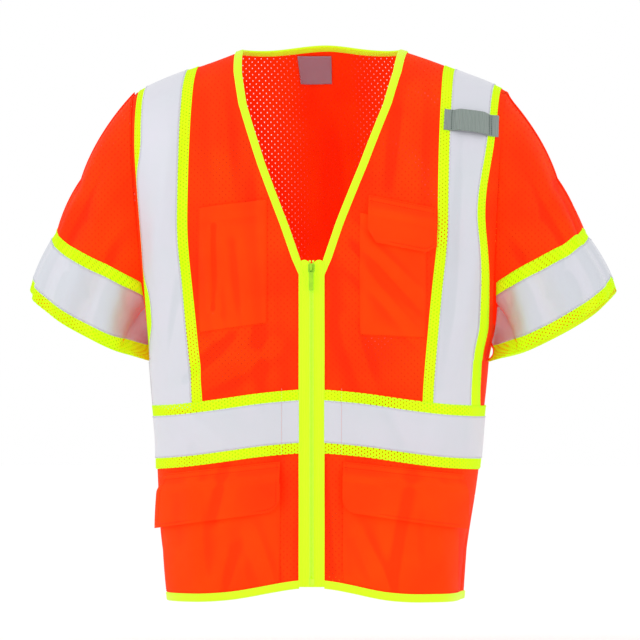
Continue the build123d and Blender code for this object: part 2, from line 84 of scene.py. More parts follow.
# The wearer's right stripe hides its outer trim in the armhole fold and round the side
STRIPE_TAPE_OUT = {
    1: [(-432, 8.5), (40, 8.5)],
    -1: [(-432, 0.9), (-352, 0.9), (-338, 8.5), (-295, 8.5), (-272, 0.9), (-150, 0.9), (-120, 8.5),
         (40, 8.5)],
}
TRIM_WIDTH = 76.2
TAPE_WIDTH = 50.8
TRIM_MARGIN = (TRIM_WIDTH - TAPE_WIDTH) / 2
BINDING_WIDTH = 9.6
VEE_TAIL = 20
HEM_SOFT = 24
STRIPE_SOFT = 26

# Armhole and sleeve
UNDERARM_Z = -352
ARMHOLE_X = 207.2
ARMHOLE_SLOPE = 0.0613
PIVOT = (207.2, -372)
SLEEVE_START = 3.6
SLEEVE_END = 58.7
FOLD = [(3.6, 324), (11.1, 285.4), (21.4, 233), (36.8, 192.2), (58.7, 169.6)]
UNDERARM_RADIUS = (18, 3.2)
CUFF_HALF_DEPTH = 54
CUFF_SAG = 17
SAG_MIDDLE = 0.85
SAG_LEAN = 0.22

# Layers out from the inside face of the cloth, and thicknesses
HOLLOW_STEP = 4
CLOTH = 0.3
CLOTH_THICK = 0.5
TRIM = 1.1
WAIST_TRIM = 2.3
TRIM_THICK = 0.45
TAPE = 1.75
WAIST_TAPE = 2.95
TAPE_THICK = 0.4
BINDING_OUT = 2.2
BINDING_IN = -0.9

SEED = 41
rng = np.random.default_rng(SEED)


def table(rows, value, soft=0):
    """A value read between the rows of a short table, its corners rounded over a reach."""
    places, values = zip(*rows)
    reaches = np.linspace(-soft, soft, 9) if soft else [0.0]
    return sum(np.interp(value + reach, places, values) for reach in reaches) / len(reaches)


def ease(value):
    """A smooth step from 0 to 1."""
    value = np.clip(value, 0.0, 1.0)
    return value * value * (3 - 2 * value)


def shoulder_height(x):
    """Height of the shoulder line over the middle plane."""
    return 37.5 - 0.37 * np.sqrt(x * x + 900)


def gauge(p):
    """Below 1 inside the body form, 1 on its surface."""
    x, y, z = p[..., 0], p[..., 1], p[..., 2]
    around = (np.abs(x) / table(HALF_WIDTHS, z)) ** SECTION_POWER
    around = (around + (np.abs(y) / HALF_DEPTH) ** SECTION_POWER) ** (1 / SECTION_POWER)
    above = np.maximum(0, (z - shoulder_height(x) + SHOULDER_DROP) / SHOULDER_DROP)
    over = np.hypot(above, y / HALF_DEPTH)
    return (around**BLEND_POWER + over**BLEND_POWER) ** (1 / BLEND_POWER)


def meet(start, way):
    """Where lines from inside the form meet its surface."""
    start, way = np.broadcast_arrays(np.asarray(start, float), np.asarray(way, float))
    near = np.zeros(start.shape[:-1])
    far = np.full(start.shape[:-1], 500.0)
    for _ in range(30):
        middle = (near + far) / 2
        inside = gauge(start + middle[..., None] * way) < 1
        near = np.where(inside, middle, near)
        far = np.where(inside, far, middle)
    return start + near[..., None] * way


def on_form(x, z, face):
    """Point of the front (-1) or back (1) of the form."""
    x, z = np.broadcast_arrays(np.asarray(x, float), np.asarray(z, float))
    start = np.stack([x, np.zeros_like(x), z], -1)
    return meet(start, (0, face, 0))


def ridge(x):
    """Height of the top of the form, over the shoulders."""
    x = np.asarray(x, float)
    start = np.stack([x, np.zeros_like(x), np.full_like(x, -300.0)], -1)
    return meet(start, (0, 0, 1))[..., 2]


def outward(p):
    """Unit normals of the form."""
    slope = np.zeros_like(p)
    for axis in range(3):
        step = np.zeros(3)
        step[axis] = 0.05
        slope[..., axis] = gauge(p + step) - gauge(p - step)
    return slope / np.linalg.norm(slope, axis=-1, keepdims=True)


def armhole(z):
    """Distance of the armhole from the middle plane."""
    return ARMHOLE_X + (z - UNDERARM_Z) * ARMHOLE_SLOPE


# ----------------------------------------------------------------- cloth folds
# Creases on the front: from (x, z) to (x, z), half-width, height
FRONT_CREASES = [
    ((-118, -60), (-104, -170), 15, 2.6),
    ((-72, -180), (-60, -400), 12, -2.0),
    ((118, -50), (120, -170), 16, 3.0),
    ((100, -80), (92, -160), 10, -1.8),
    ((60, -225), (122, -286), 9, 2.2),
    ((56, -262), (118, -334), 9, 2.6),
    ((66, -250), (124, -312), 8, -2.0),
    ((44, -330), (66, -400), 12, 2.2),
    ((-50, -360), (-128, -398), 13, 2.4),
    ((-96, -345), (-150, -392), 10, -1.8),
    ((-128, -232), (-112, -330), 9, 2.2),
    ((-94, -238), (-86, -322), 8, -1.8),
    ((-142, -515), (-128, -640), 14, 3.2),
    ((-104, -500), (-112, -560), 9, -2.2),
    ((-70, -580), (-46, -650), 12, 3.0),
    ((-88, -600), (-100, -655), 8, -2.0),
    ((-24, -500), (-32, -640), 10, 2.0),
    ((60, -580), (96, -652), 12, 3.0),
    ((120, -520), (104, -640), 12, -2.4),
    ((146, -520), (160, -650), 13, 3.0),
    ((28, -510), (40, -640), 9, 2.0),
    ((-172, -430), (-120, -470), 16, 1.5),
    ((-150, -420), (-160, -500), 14, 1.6),
    ((80, -425), (110, -480), 16, -1.5),
    ((160, -425), (140, -490), 14, 1.8),
    ((176, -120), (166, -300), 12, -2.4),
    ((196, -230), (170, -390), 11, 2.2),
    ((-170, -100), (-186, -240), 13, 2.4),
    ((-158, -260), (-182, -400), 12, -2.0),
]
BACK_CREASES = [
    ((-120, -70), (-60, -260), 22, 3.4),
    ((110, -80), (70, -300), 20, 3.0),
    ((0, -60), (10, -230), 26, -2.4),
    ((-150, -330), (-60, -420), 16, 2.6),
    ((150, -300), (70, -410), 15, 2.8),
    ((-90, -500), (-110, -650), 16, 3.2),
    ((20, -500), (0, -650), 18, -2.6),
    ((110, -500), (130, -650), 15, 3.2),
    ((-30, -280), (-40, -420), 18, 2.0),
]
# Waves along the cloth: direction, length, height and phase of each
WAVE_COUNT = 16
WAVE_WAYS = rng.normal(size=(WAVE_COUNT, 3)) * (1.0, 1.0, 0.35)
WAVE_WAYS /= np.linalg.norm(WAVE_WAYS, axis=1, keepdims=True)
WAVE_LENGTHS = rng.uniform(55, 190, WAVE_COUNT)
WAVE_PHASES = rng.uniform(0, 2 * np.pi, WAVE_COUNT)
WAVE_HEIGHT = 0.0042
HEM_DRIFT = 7.0
SIDE_TUCK = 5.0
CREASE_SCALE = 1.35


def creases(p, rows):
    """Sum of soft ridges and valleys read in the front view."""
    total = np.zeros(p.shape[:-1])
    for (x0, z0), (x1, z1), width, height in rows:
        way = np.array([x1 - x0, z1 - z0], float)
        length = np.hypot(*way)
        along = ((p[..., 0] - x0) * way[0] + (p[..., 2] - z0) * way[1]) / length
        across = ((p[..., 0] - x0) * way[1] - (p[..., 2] - z0) * way[0]) / length
        share = along / length
        reach = np.exp(-np.where(share < 0, share, np.maximum(share - 1, 0)) ** 2 * 30)
        taper = 0.55 + 0.45 * np.sin(np.pi * np.clip(share, 0, 1))
        lean = np.where(across > 0, width, width * 0.7)
        total += CREASE_SCALE * height * reach * taper * np.exp(-((across / lean) ** 2))
    return total


def waves(p):
    """Sum of long soft waves, so that the cloth is never quite flat."""
    total = np.zeros(p.shape[:-1])
    for way, length, phase in zip(WAVE_WAYS, WAVE_LENGTHS, WAVE_PHASES):
        total += WAVE_HEIGHT * length * np.sin(2 * np.pi * (p @ way) / length + phase)
    return total


def folds(p):
    """How far the torso's layers move out along the normal at a point of the form."""
    x, y, z = p[..., 0], p[..., 1], p[..., 2]
    front = creases(p, FRONT_CREASES) * ease((-y - 20) / 60)
    back = creases(p, BACK_CREASES) * ease((y - 20) / 60)
    total = front + back + waves(p)
    total = total * np.where(y < 0, ease((np.abs(x) - 15) / 22), 1)
    near_armhole = np.where(z > UNDERARM_Z - 20, ease((armhole(z) - np.abs(x) - 1) / 22), 1)
    seam = ease(np.abs(z - ridge(np.abs(x))) / 30)
    calm = 1 - 0.45 * ease(1 - np.abs(z + 455) / 50)
    return total * near_armhole * (0.3 + 0.7 * seam) * calm


def drift(p):
    """The hem hangs a little towards the wearer's right, except at the zip."""
    low = ease((-455 - p[..., 2]) / 150)
    side = ease((p[..., 0] - 180) / 20) * ease((-330 - p[..., 2]) / 40) * (1 - low)
    return -HEM_DRIFT * low * ease((np.abs(p[..., 0]) - 20) / 120) - SIDE_TUCK * side


def on_body(p, height):
    """Points of the form lifted by a height on top of the folds."""
    lifted = p + outward(p) * (folds(p) + height)[..., None]
    lifted[..., 0] += drift(p)
    return lifted


# -------------------------------------------------------------- making objects
def mesh_object(name, points, faces, uv=None, material=None):
    """A mesh piece from points in millimetres."""
    mesh = bpy.data.meshes.new(name)
    mesh.from_pydata((np.asarray(points).reshape(-1, 3) * MM).tolist(), [], faces)
    mesh.validate()
    if uv is not None:
        layer = mesh.uv_layers.new(name="UVMap")
        loops = np.zeros(len(mesh.loops), int)
        mesh.loops.foreach_get("vertex_index", loops)
        layer.data.foreach_set("uv", uv.reshape(-1, 2)[loops].astype(np.float32).ravel())
    mesh.shade_smooth()
    piece = bpy.data.objects.new(name, mesh)
    bpy.context.scene.collection.objects.link(piece)
    if material:
        mesh.materials.append(material)
    return piece


def grid(rows, columns):
    """Shares from 0 to 1 up the rows and along the columns of a grid."""
    return np.meshgrid(np.linspace(0, 1, rows + 1), np.linspace(0, 1, columns + 1), indexing="ij")


def grid_faces(rows, columns, loop=False):
    """Quads between the points of a grid, closed round when looped."""
    index = np.arange(rows * columns).reshape(rows, columns)
    if loop:
        index = np.concatenate([index, index[:, :1]], 1)
    quads = np.stack([index[:-1, :-1], index[:-1, 1:], index[1:, 1:], index[1:, :-1]], -1)
    return quads.reshape(-1, 4)


def cloth_uv(points):
    """Texture places in millimetres of cloth, along both ways of a grid."""
    across = np.linalg.norm(np.diff(points, axis=1), axis=-1)
    across = np.concatenate([np.zeros((len(points), 1)), np.cumsum(across, 1)], 1)
    up = np.linalg.norm(np.diff(points, axis=0), axis=-1).mean(1)
    up = np.concatenate([[0], np.cumsum(up)])
    return np.stack([across, np.broadcast_to(up[:, None], across.shape)], -1)


def hollows(points, faces_out):
    """How far each point of a grid lies in a hollow, in millimetres, from its wider neighbours."""
    total = np.zeros(points.shape[:2])
    for axis in (0, 1):
        step = max(1, min(HOLLOW_STEP, points.shape[axis] // 4))
        pad = [(step, step) if a == axis else (0, 0) for a in (0, 1)] + [(0, 0)]
        wide = np.pad(points, pad, mode="reflect", reflect_type="odd")
        size = points.shape[axis]
        before = np.take(wide, range(0, size), axis)
        after = np.take(wide, range(2 * step, size + 2 * step), axis)
        total += (((before + after) / 2 - points) * faces_out).sum(-1)
    return total


def cloth(name, points, material, body="vest", thick=CLOTH_THICK, loop=False, flip=False, uv=None):
    """A cloth piece from a grid of points, given its thickness."""
    faces = grid_faces(points.shape[0], points.shape[1], loop)
    if flip:
        faces = faces[:, ::-1]
    uv = cloth_uv(points) if uv is None else uv
    piece = mesh_object(name, points, faces.tolist(), uv, material)
    normals = np.zeros(len(piece.data.vertices) * 3)
    piece.data.vertices.foreach_get("normal", normals)
    # How deep each point lies in the folds, kept for the painted shade in the materials
    hollow = hollows(points, normals.reshape(points.shape))
    piece.data.attributes.new("hollow", "FLOAT", "POINT").data.foreach_set("value", hollow.ravel())
    if thick:
        shell = piece.modifiers.new("thickness", "SOLIDIFY")
        shell.thickness = thick * MM
        shell.offset = 0
    if body:
        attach(piece, body)
    return piece


def spine_lengths(path):
    """Distance of each point of a path from its start."""
    steps = np.linalg.norm(np.diff(path, axis=0), axis=1)
    return np.concatenate([[0], np.cumsum(steps)])


def walk(path, spacing):
    """Points at even spacing along a path."""
    far = spine_lengths(path)
    stops = np.arange(spacing / 2, far[-1], spacing)
    return np.stack([np.interp(stops, far, path[:, axis]) for axis in range(3)], -1)


STITCH_PITCH = 3.2
STITCH_LENGTH = 2.3
STITCH_HALF = 0.32


def stitches(name, paths, material, body="vest", pitch=STITCH_PITCH, wide=STITCH_HALF):
    """Thread dashes along paths of (points, normals)."""
    points, faces = [], []
    for path, normals in paths:
        middles = walk(path, pitch)
        ups = walk_normals(path, normals, pitch)
        if len(middles) < 2:
            continue
        ways = np.gradient(middles, axis=0)
        ways /= np.linalg.norm(ways, axis=1, keepdims=True)
        sides = np.cross(ways, ups)
        for m, w, s, u in zip(middles, ways, sides, ups):
            base = len(points)
            half = w * STITCH_LENGTH / 2
            points += [m - half, m + half, m + s * wide, m - s * wide,
                       m + u * STITCH_HALF, m - u * STITCH_HALF]
            for a, b in ((2, 4), (4, 3), (3, 5), (5, 2)):
                faces.append((base, base + b, base + a))
                faces.append((base + 1, base + a, base + b))
    piece = mesh_object(name, points, faces, None, material)
    if body:
        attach(piece, body)
    return piece


def walk_normals(path, normals, spacing):
    """Unit normals at even spacing along a path."""
    far = spine_lengths(path)
    stops = np.arange(spacing / 2, far[-1], spacing)
    found = np.stack([np.interp(stops, far, normals[:, axis]) for axis in range(3)], -1)
    return found / np.linalg.norm(found, axis=1, keepdims=True)


# ------------------------------------------------------------------- materials
ORANGE = (0.86, 0.058, 0.0, 1)
ORANGE_DEEP = (0.82, 0.014, 0.0, 1)
LIME = (0.66, 1.0, 0.012, 1)
LIME_DEEP = (0.5, 0.92, 0.0, 1)
SILVER = (0.66, 0.69, 0.73, 1)
SILVER_DEEP = (0.55, 0.58, 0.63, 1)
WEBBING = (0.25, 0.30, 0.275, 1)
LABEL_GREY = (0.30, 0.25, 0.34, 1)
PEACH = (0.95, 0.42, 0.38, 1)
ORANGE_SOLID = (0.87, 0.062, 0.0, 1)
ORANGE_SOLID_DEEP = (0.84, 0.024, 0.0, 1)
WEBBING_PALE = (0.31, 0.36, 0.335, 1)
LABEL_PALE = (0.34, 0.29, 0.37, 1)
SILVER_LILAC = (0.66, 0.64, 0.72, 1)
SILVER_SPECK = (0.9, 0.92, 0.95, 1)
ZIP_LIME = (0.62, 0.95, 0.03, 1)
ENAMEL = (0.42, 0.80, 0.0, 1)
ENAMEL_DEEP = (0.20, 0.52, 0.0, 1)
# Orange stitching made darker than the cloth, so that it also paints the shade along the pocket, flap and
# armhole seams
STITCH_ORANGE_AND_EDGE_SHADE = (0.66, 0.009, 0.0, 1)
STITCH_LIME = (0.8, 1.0, 0.1, 1)
STITCH_WHITE = (0.78, 0.74, 0.80, 1)
STITCH_GREY = (0.10, 0.13, 0.12, 1)
PALE_FLOOR = (0.92, 0.92, 0.92, 1)
WHITE = (1, 1, 1, 1)

# Painted glow: strength of the emission that stands in for the fluorescent cloth's brightness
GLOW = 0.3
HOLE_COLUMN = 3.9
HOLE_ROW = 7.6
HOLE_HALF = (0.6, 0.9)
LATTICE = (HOLE_COLUMN, HOLE_ROW, HOLE_HALF)
TRIM_LATTICE = (3.6, 4.6, (0.95, 1.15))


class Nodes:
    """Short way to build a material's node tree."""

    def __init__(self, name):
        self.material = bpy.data.materials.new(name)
        self.material.use_nodes = True
        self.tree = self.material.node_tree
        self.shader = self.tree.nodes["Principled BSDF"]
        self.output = self.tree.nodes["Material Output"]

    def add(self, kind, inputs=(), **settings):
        node = self.tree.nodes.new(kind)
        for key, value in settings.items():
            setattr(node, key, value)
        for key, value in dict(inputs).items():
            self.set(node.inputs[key], value)
        return node

    def set(self, socket, value):
        if isinstance(value, bpy.types.NodeSocket):
            self.tree.links.new(value, socket)
        else:
            socket.default_value = value

    def shade(self, values):
        """Sets inputs of the surface by name."""
        for name, value in values.items():
            self.set(self.shader.inputs[name], value)

    def math(self, operation, a, b=0.0, c=0.0):
        node = self.add("ShaderNodeMath", operation=operation)
        for socket, value in zip(node.inputs, (a, b, c)):
            self.set(socket, value)
        return node.outputs[0]

    def mix(self, share, a, b):
        node = self.add("ShaderNodeMix", data_type="RGBA")
        for key, value in ((0, share), (6, a), (7, b)):
            self.set(node.inputs[key], value)
        return node.outputs[2]

    def remap(self, value, low, high, to_low, to_high):
        """A value's range turned into another, held at its ends."""
        inputs = {0: value, 1: low, 2: high, 3: to_low, 4: to_high}
        return self.add("ShaderNodeMapRange", inputs).outputs[0]

    def place(self):
        """The two cloth coordinates in millimetres."""
        split = self.add("ShaderNodeSeparateXYZ", {0: self.add("ShaderNodeUVMap").outputs[0]})
        return split.outputs[0], split.outputs[1]

    def object_place(self):
        return self.add("ShaderNodeTexCoord").outputs["Object"]

    def noise(self, scale, detail=2.0):
        inputs = {"Vector": self.object_place(), "Scale": scale, "Detail": detail}
        return self.add("ShaderNodeTexNoise", inputs).outputs["Fac"]

    def hollow(self, low, high):
        """0 on the ridges of the folds and 1 in their hollows: the mask for painted shade in the folds."""
        place = self.add("ShaderNodeAttribute", attribute_name="hollow").outputs["Fac"]
        return self.remap(place, low, high, 0.0, 1.0)

    def centred(self, value):
        """Fraction within a column or row of the hole pattern, from -0.5 to 0.5."""
        return self.math("SUBTRACT", self.math("FRACT", value), 0.5)

    def holes(self, column, row, half):
        """1 inside the holes of a warp-knitted mesh, every other column set half a step down."""
        u, v = self.place()
        columns = self.math("DIVIDE", u, column)
        shift = self.math("MULTIPLY", self.math("PINGPONG", self.math("FLOOR", columns), 1.0), 0.5)
        rows = self.math("ADD", self.math("DIVIDE", v, row), shift)
        a = self.math("DIVIDE", self.math("MULTIPLY", self.centred(columns), column), half[0])
        b = self.math("DIVIDE", self.math("MULTIPLY", self.centred(rows), row), half[1])
        far = self.math("SQRT", self.math("ADD", self.math("MULTIPLY", a, a), self.math("MULTIPLY", b, b)))
        return self.remap(far, 0.8, 1.15, 1.0, 0.0)

    def ribs(self, value, pitch):
        """A rounded rib profile from 0 to 1 along a coordinate."""
        turn = self.math("MULTIPLY", value, 2 * math.pi / pitch)
        return self.math("MULTIPLY_ADD", self.math("SINE", turn), 0.5, 0.5)

    def bump(self, height, strength, distance=0.0004):
        node = self.add("ShaderNodeBump", {"Height": height, "Strength": strength, "Distance": distance})
        self.set(self.shader.inputs["Normal"], node.outputs[0])

    def glow(self, colour, strength):
        """Painted glow: emission in a colour that shines whatever the lamps; on the vest it stands in for
        fluorescence and flattens the shading.
        """
        self.set(self.shader.inputs["Emission Color"], colour)
        self.set(self.shader.inputs["Emission Strength"], strength)

    def cut(self, mask):
        """Lets light through where the mask is 1."""
        clear = self.add("ShaderNodeBsdfTransparent")
        both = self.add("ShaderNodeMixShader", {0: mask, 1: self.shader.outputs[0], 2: clear.outputs[0]})
        self.tree.links.new(both.outputs[0], self.output.inputs["Surface"])


def knit(name, colour, deep, glow, holes=0.0, patchy=0.0, lattice=LATTICE, sides=()):
    """Warp-knitted polyester, with or without mesh holes that open more in patches or towards the sides, with
    shade painted into the hollows of the folds and into the holes.
    """
    n = Nodes(name)
    u, v = n.place()
    tone = n.mix(n.noise(14.0, 3.0), deep, colour)
    # Painted shade: darker in the hollows of the folds
    tone = n.mix(n.math("MULTIPLY", n.hollow(-0.5, 0.9), 0.62), tone, deep)
    tone = n.mix(n.math("MULTIPLY", n.noise(900.0, 2.0), 0.2), tone, deep)
    wales = n.ribs(u, 0.95)
    courses = n.ribs(v, 0.8)
    height = n.math("ADD", n.math("MULTIPLY", wales, 0.6), n.math("MULTIPLY", courses, 0.4))
    if holes:
        mask = n.holes(*lattice)
        height = n.math("SUBTRACT", height, n.math("MULTIPLY", mask, 2.0))
        # Painted shade: the holes are darker where they are not cut through
        tone = n.mix(n.math("MULTIPLY", mask, 0.8), tone, deep)
        place = n.math("MULTIPLY_ADD", n.noise(9.0, 2.0), 5.0, -2.1)
        if sides:
            split = n.add("ShaderNodeSeparateXYZ", {0: n.object_place()})
            aside = n.math("ABSOLUTE", split.outputs[0])
            place = n.remap(aside, *sides, 0.0, 1.0)
        open_share = n.remap(place, 0.0, 1.0, holes * (1 - patchy), holes)
        n.cut(n.math("MULTIPLY", mask, open_share))
    n.shade({
        "Base Color": tone, "Roughness": 0.85, "Sheen Weight": 0.12, "Sheen Roughness": 0.4,
        "Sheen Tint": colour, "Specular IOR Level": 0.12,
    })
    n.glow(tone, glow)
    n.bump(height, 0.35)
    return n.material


def tape_material():
    """Silver retroreflective tape with a faint woven grid, soft wear and painted shade in the hollows of the
    folds.
    """
    n = Nodes("reflective_silver")
    u, v = n.place()
    cloudy = n.noise(11.0, 4.0)
    tone = n.mix(cloudy, SILVER_DEEP, SILVER)
    tint = n.mix(n.noise(23.0, 2.0), SILVER_LILAC, tone)
    # Painted shade: darker in the hollows of the folds
    tint = n.mix(n.math("MULTIPLY", n.hollow(-0.3, 0.6), 0.6), tint, SILVER_DEEP)
    grid = n.math("MULTIPLY", n.ribs(u, 1.1), n.ribs(v, 1.1))
    speck = n.noise(2200.0, 1.0)
    n.shade({
        "Base Color": n.mix(n.math("MULTIPLY", speck, 0.12), tint, SILVER_SPECK),
        "Roughness": n.math("MULTIPLY_ADD", cloudy, 0.2, 0.42), "Metallic": 0.12, "Sheen Weight": 0.3,
    })
    n.bump(n.math("ADD", grid, n.math("MULTIPLY", n.noise(60.0, 4.0), 3.0)), 0.25)
    return n.material


def ribbed(name, colour, deep, pitch, glow=0.0, across=True, strength=0.6, rough=0.7):
    """Woven narrow goods whose ribs run one way."""
    n = Nodes(name)
    u, v = n.place()
    rib = n.ribs(u if across else v, pitch)
    cross = n.ribs(v if across else u, pitch * 0.8)
    # Painted shade: darker in the grooves between the ribs, on the bump's own profile
    tone = n.mix(n.math("MULTIPLY_ADD", rib, 0.6, 0.2), deep, colour)
    tone = n.mix(n.math("MULTIPLY", n.noise(300.0, 2.0), 0.3), tone, deep)
    n.shade({"Base Color": tone, "Roughness": rough, "Sheen Weight": 0.2, "Specular IOR Level": 0.25})
    n.glow(tone, glow)
    n.bump(n.math("MULTIPLY_ADD", cross, 0.35, rib), strength)
    return n.material


def label_material():
    """Blank satin label."""
    n = Nodes("label_satin")
    u, v = n.place()
    tone = n.mix(n.noise(40.0, 2.0), LABEL_GREY, LABEL_PALE)
    n.shade({"Base Color": tone, "Roughness": 0.45, "Sheen Weight": 0.4})
    n.bump(n.math("ADD", n.ribs(u, 0.5), n.ribs(v, 0.5)), 0.2)
    return n.material


def fastener_material():
    """Hook and loop tape: a dense nap of short fibres."""
    n = Nodes("touch_fastener_orange")
    nap = n.add("ShaderNodeTexVoronoi", {"Vector": n.object_place(), "Scale": 1400.0})
    # Painted shade: darker low in the nap, between the fibres
    tone = n.mix(nap.outputs["Distance"], ORANGE_DEEP, ORANGE)
    n.shade({"Base Color": tone, "Roughness": 0.95})
    n.glow(tone, GLOW)
    n.bump(nap.outputs["Distance"], 0.9, 0.0008)
    return n.material


def moulded(name, colour, deep, rough, metal=0.0, glow=0.0):
    """Moulded or enamelled zip parts with fine wear and orange peel."""
    n = Nodes(name)
    tone = n.mix(n.noise(180.0, 3.0), deep, colour)
    n.shade({
        "Base Color": tone, "Roughness": n.math("MULTIPLY_ADD", n.noise(400.0, 2.0), 0.15, rough),
        "Metallic": metal, "Coat Weight": 0.15,
    })
    n.glow(tone, glow)
    n.bump(n.noise(1200.0, 2.0), 0.08)
    return n.material


def thread_material(name, colour, glow=0.0):
    """Twisted sewing thread."""
    n = Nodes(name)
    strand = n.add("ShaderNodeTexWave", {"Vector": n.object_place(), "Scale": 900.0})
    # Painted shade: darker in the grooves between the twisted strands
    deep = tuple(0.75 * part for part in colour[:3]) + (1,)
    n.shade({
        "Base Color": n.mix(strand.outputs["Fac"], deep, colour), "Roughness": 0.6,
        "Specular IOR Level": 0.1,
    })
    n.glow(colour, glow)
    n.bump(strand.outputs["Fac"], 0.3)
    return n.material


mesh_orange = knit("orange_mesh_front", ORANGE, ORANGE_DEEP, GLOW, 0.5, 0.85)
mesh_back = knit("orange_mesh_back", ORANGE, ORANGE_DEEP, GLOW, 0.9, 0.92, sides=(0.025, 0.075))
solid_orange = knit("orange_knit_solid", ORANGE_SOLID, ORANGE_SOLID_DEEP, GLOW)
lime_mesh = knit("lime_mesh", LIME, LIME_DEEP, GLOW, 0.95, 0.5, TRIM_LATTICE)
lime_binding = ribbed("lime_binding", LIME, LIME_DEEP, 1.2, GLOW, True, 0.4)
zip_cloth = ribbed("lime_zip_cloth", LIME, LIME_DEEP, 1.5, GLOW, True, 0.6)
silver = tape_material()
webbing_grey = ribbed("grey_webbing", WEBBING_PALE, WEBBING, 1.3, 0.0, True, 0.8)
label_grey = label_material()
fastener = fastener_material()
zip_plastic = moulded("zip_plastic_lime", ZIP_LIME, LIME_DEEP, 0.35, 0.0, 0.12)
zip_metal = moulded("zip_enamel_lime", ENAMEL, ENAMEL_DEEP, 0.6, 0.0, 0.05)
thread_orange_and_edge_shade = thread_material("thread_orange_and_edge_shade", STITCH_ORANGE_AND_EDGE_SHADE, 0.05)
thread_lime = thread_material("thread_lime", STITCH_LIME, 0.12)
thread_white = thread_material("thread_white", STITCH_WHITE)
thread_peach = thread_material("thread_peach", PEACH, 0.1)
thread_grey = thread_material("thread_grey", STITCH_GREY)

# ----------------------------------------------------------------- main panels
PANEL_RUNS = 110
PANEL_STEPS = 230
SIDE_BUNCHING = 2.2


def side_limit(z):
    """Distance of a panel's outer edge from the middle: the side seam or the armhole."""
    start = np.stack([np.zeros_like(z), np.zeros_like(z), z], -1)
    seam = meet(start, (1, 0, 0))[..., 0] - 0.05
    return np.where(z > UNDERARM_Z, np.minimum(seam, armhole(z)), seam)


def front_edge(z):
    """Inner edge of a front panel: the zip, then the V of the neck."""
    blend = ease((z - VEE_BOTTOM + 9) / 9)
    return FRONT_EDGE_X + (table(VEE, z) + 0.4 - FRONT_EDGE_X) * blend


def back_top(x):
    """Upper edge of the back panel, dipped at the neck."""
    x = np.abs(x)
    drop = BACK_NECK_DROP * np.maximum(0, 1 - (x / NECK_X) ** 2)
    return ridge(x) - drop - 0.05


def hem_line(x):
    """Lower edge of the panels, short of the zip's end in the middle."""
    return table(HEM, np.abs(x), HEM_SOFT) + 0.4 + 4 * ease((19 - np.abs(x)) / 6)


def panel(side, face, left_edge, top, runs=PANEL_RUNS, steps=PANEL_STEPS):
    """Form points of a panel, rows up from the hem and columns out to the side seam."""
    share = 1 - (1 - np.linspace(0, 1, runs + 1)) ** SIDE_BUNCHING
    up = np.sin(np.pi * np.linspace(0, 1, steps + 1) / 2)
    share, up = np.meshgrid(share, up)
    x = np.full(share.shape, 110.0)
    for _ in range(12):
        z = hem_line(x) + (top(x) - hem_line(x)) * up
        x = left_edge(z) + (side_limit(z) - left_edge(z)) * share
    points = on_form(side * x, z, face)
    nil = np.zeros(steps + 1)
    seam = meet(np.stack([nil, nil, z[:, -1]], -1), (side, 0, 0))
    sewn = np.abs(seam[:, 0]) < np.abs(points[:, -1, 0]) + 0.1
    points[sewn, -1] = seam[sewn]
    shoulder = meet(np.stack([side * x[-1], 0 * x[-1], ridge(x[-1]) - 60], -1), (0, 0, 1))
    sewn = z[-1] > ridge(x[-1]) - 0.2
    points[-1, sewn] = shoulder[sewn]
    return points


def panel_uv(points, side):
    """Cloth places with the columns of holes upright, the same on both fronts."""
    across = np.linalg.norm(np.diff(points[..., :2], axis=1), axis=-1)
    across = np.concatenate([np.abs(points[:, :1, 0]), across], 1).cumsum(1)
    return np.stack([side * across, points[..., 2]], -1)


for side, hand in SIDES:
    base = panel(side, -1, front_edge, lambda x: ridge(x) - 0.05)
    front = cloth(f"front_cloth_{hand}", on_body(base, CLOTH), mesh_orange,
                  flip=side < 0, uv=panel_uv(base, side))
    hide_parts(f"front_panel_{hand}")

right_half = panel(-1, 1, lambda z: np.zeros_like(z), back_top)
left_half = panel(1, 1, lambda z: np.zeros_like(z), back_top)
base = np.concatenate([right_half[:, :0:-1], left_half], 1)
back_uv = np.concatenate([panel_uv(right_half, -1)[:, :0:-1], panel_uv(left_half, 1)], 1)
back = cloth("back_cloth", on_body(base, CLOTH), mesh_back, flip=True, uv=back_uv)
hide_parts("back_panel")


# --------------------------------------------------------------------- sleeves
SLEEVE_ROWS = 90
SLEEVE_COLUMNS = 200
BAND_OPENING = 0.2
ARMHOLE_STITCHED = 1.45
SLEEVE_TUCK = 8.0
# How far the sleeve lies back under its band, clear of the band's layers
SLEEVE_SUNK = 1.8
FACING_WIDTH = 11.0
FACING_IN = -0.7
UNDERARM_PULL = 7.0
# Folds that fall from the shoulder to the cuff: angle round the sleeve, width, height
SLEEVE_FOLDS = [
    (0.35, 0.10, -4.0), (0.62, 0.12, 4.0), (0.92, 0.11, -3.6), (1.25, 0.13, 4.2), (1.62, 0.12, -3.4),
    (1.95, 0.14, 3.8), (2.35, 0.13, -3.0), (2.75, 0.14, 2.6), (-0.4, 0.12, 3.6), (-0.8, 0.14, -3.2),
    (-1.25, 0.15, 3.8), (-1.75, 0.15, -3.2), (-2.2, 0.15, 3.4), (-2.7, 0.14, -2.4),
]


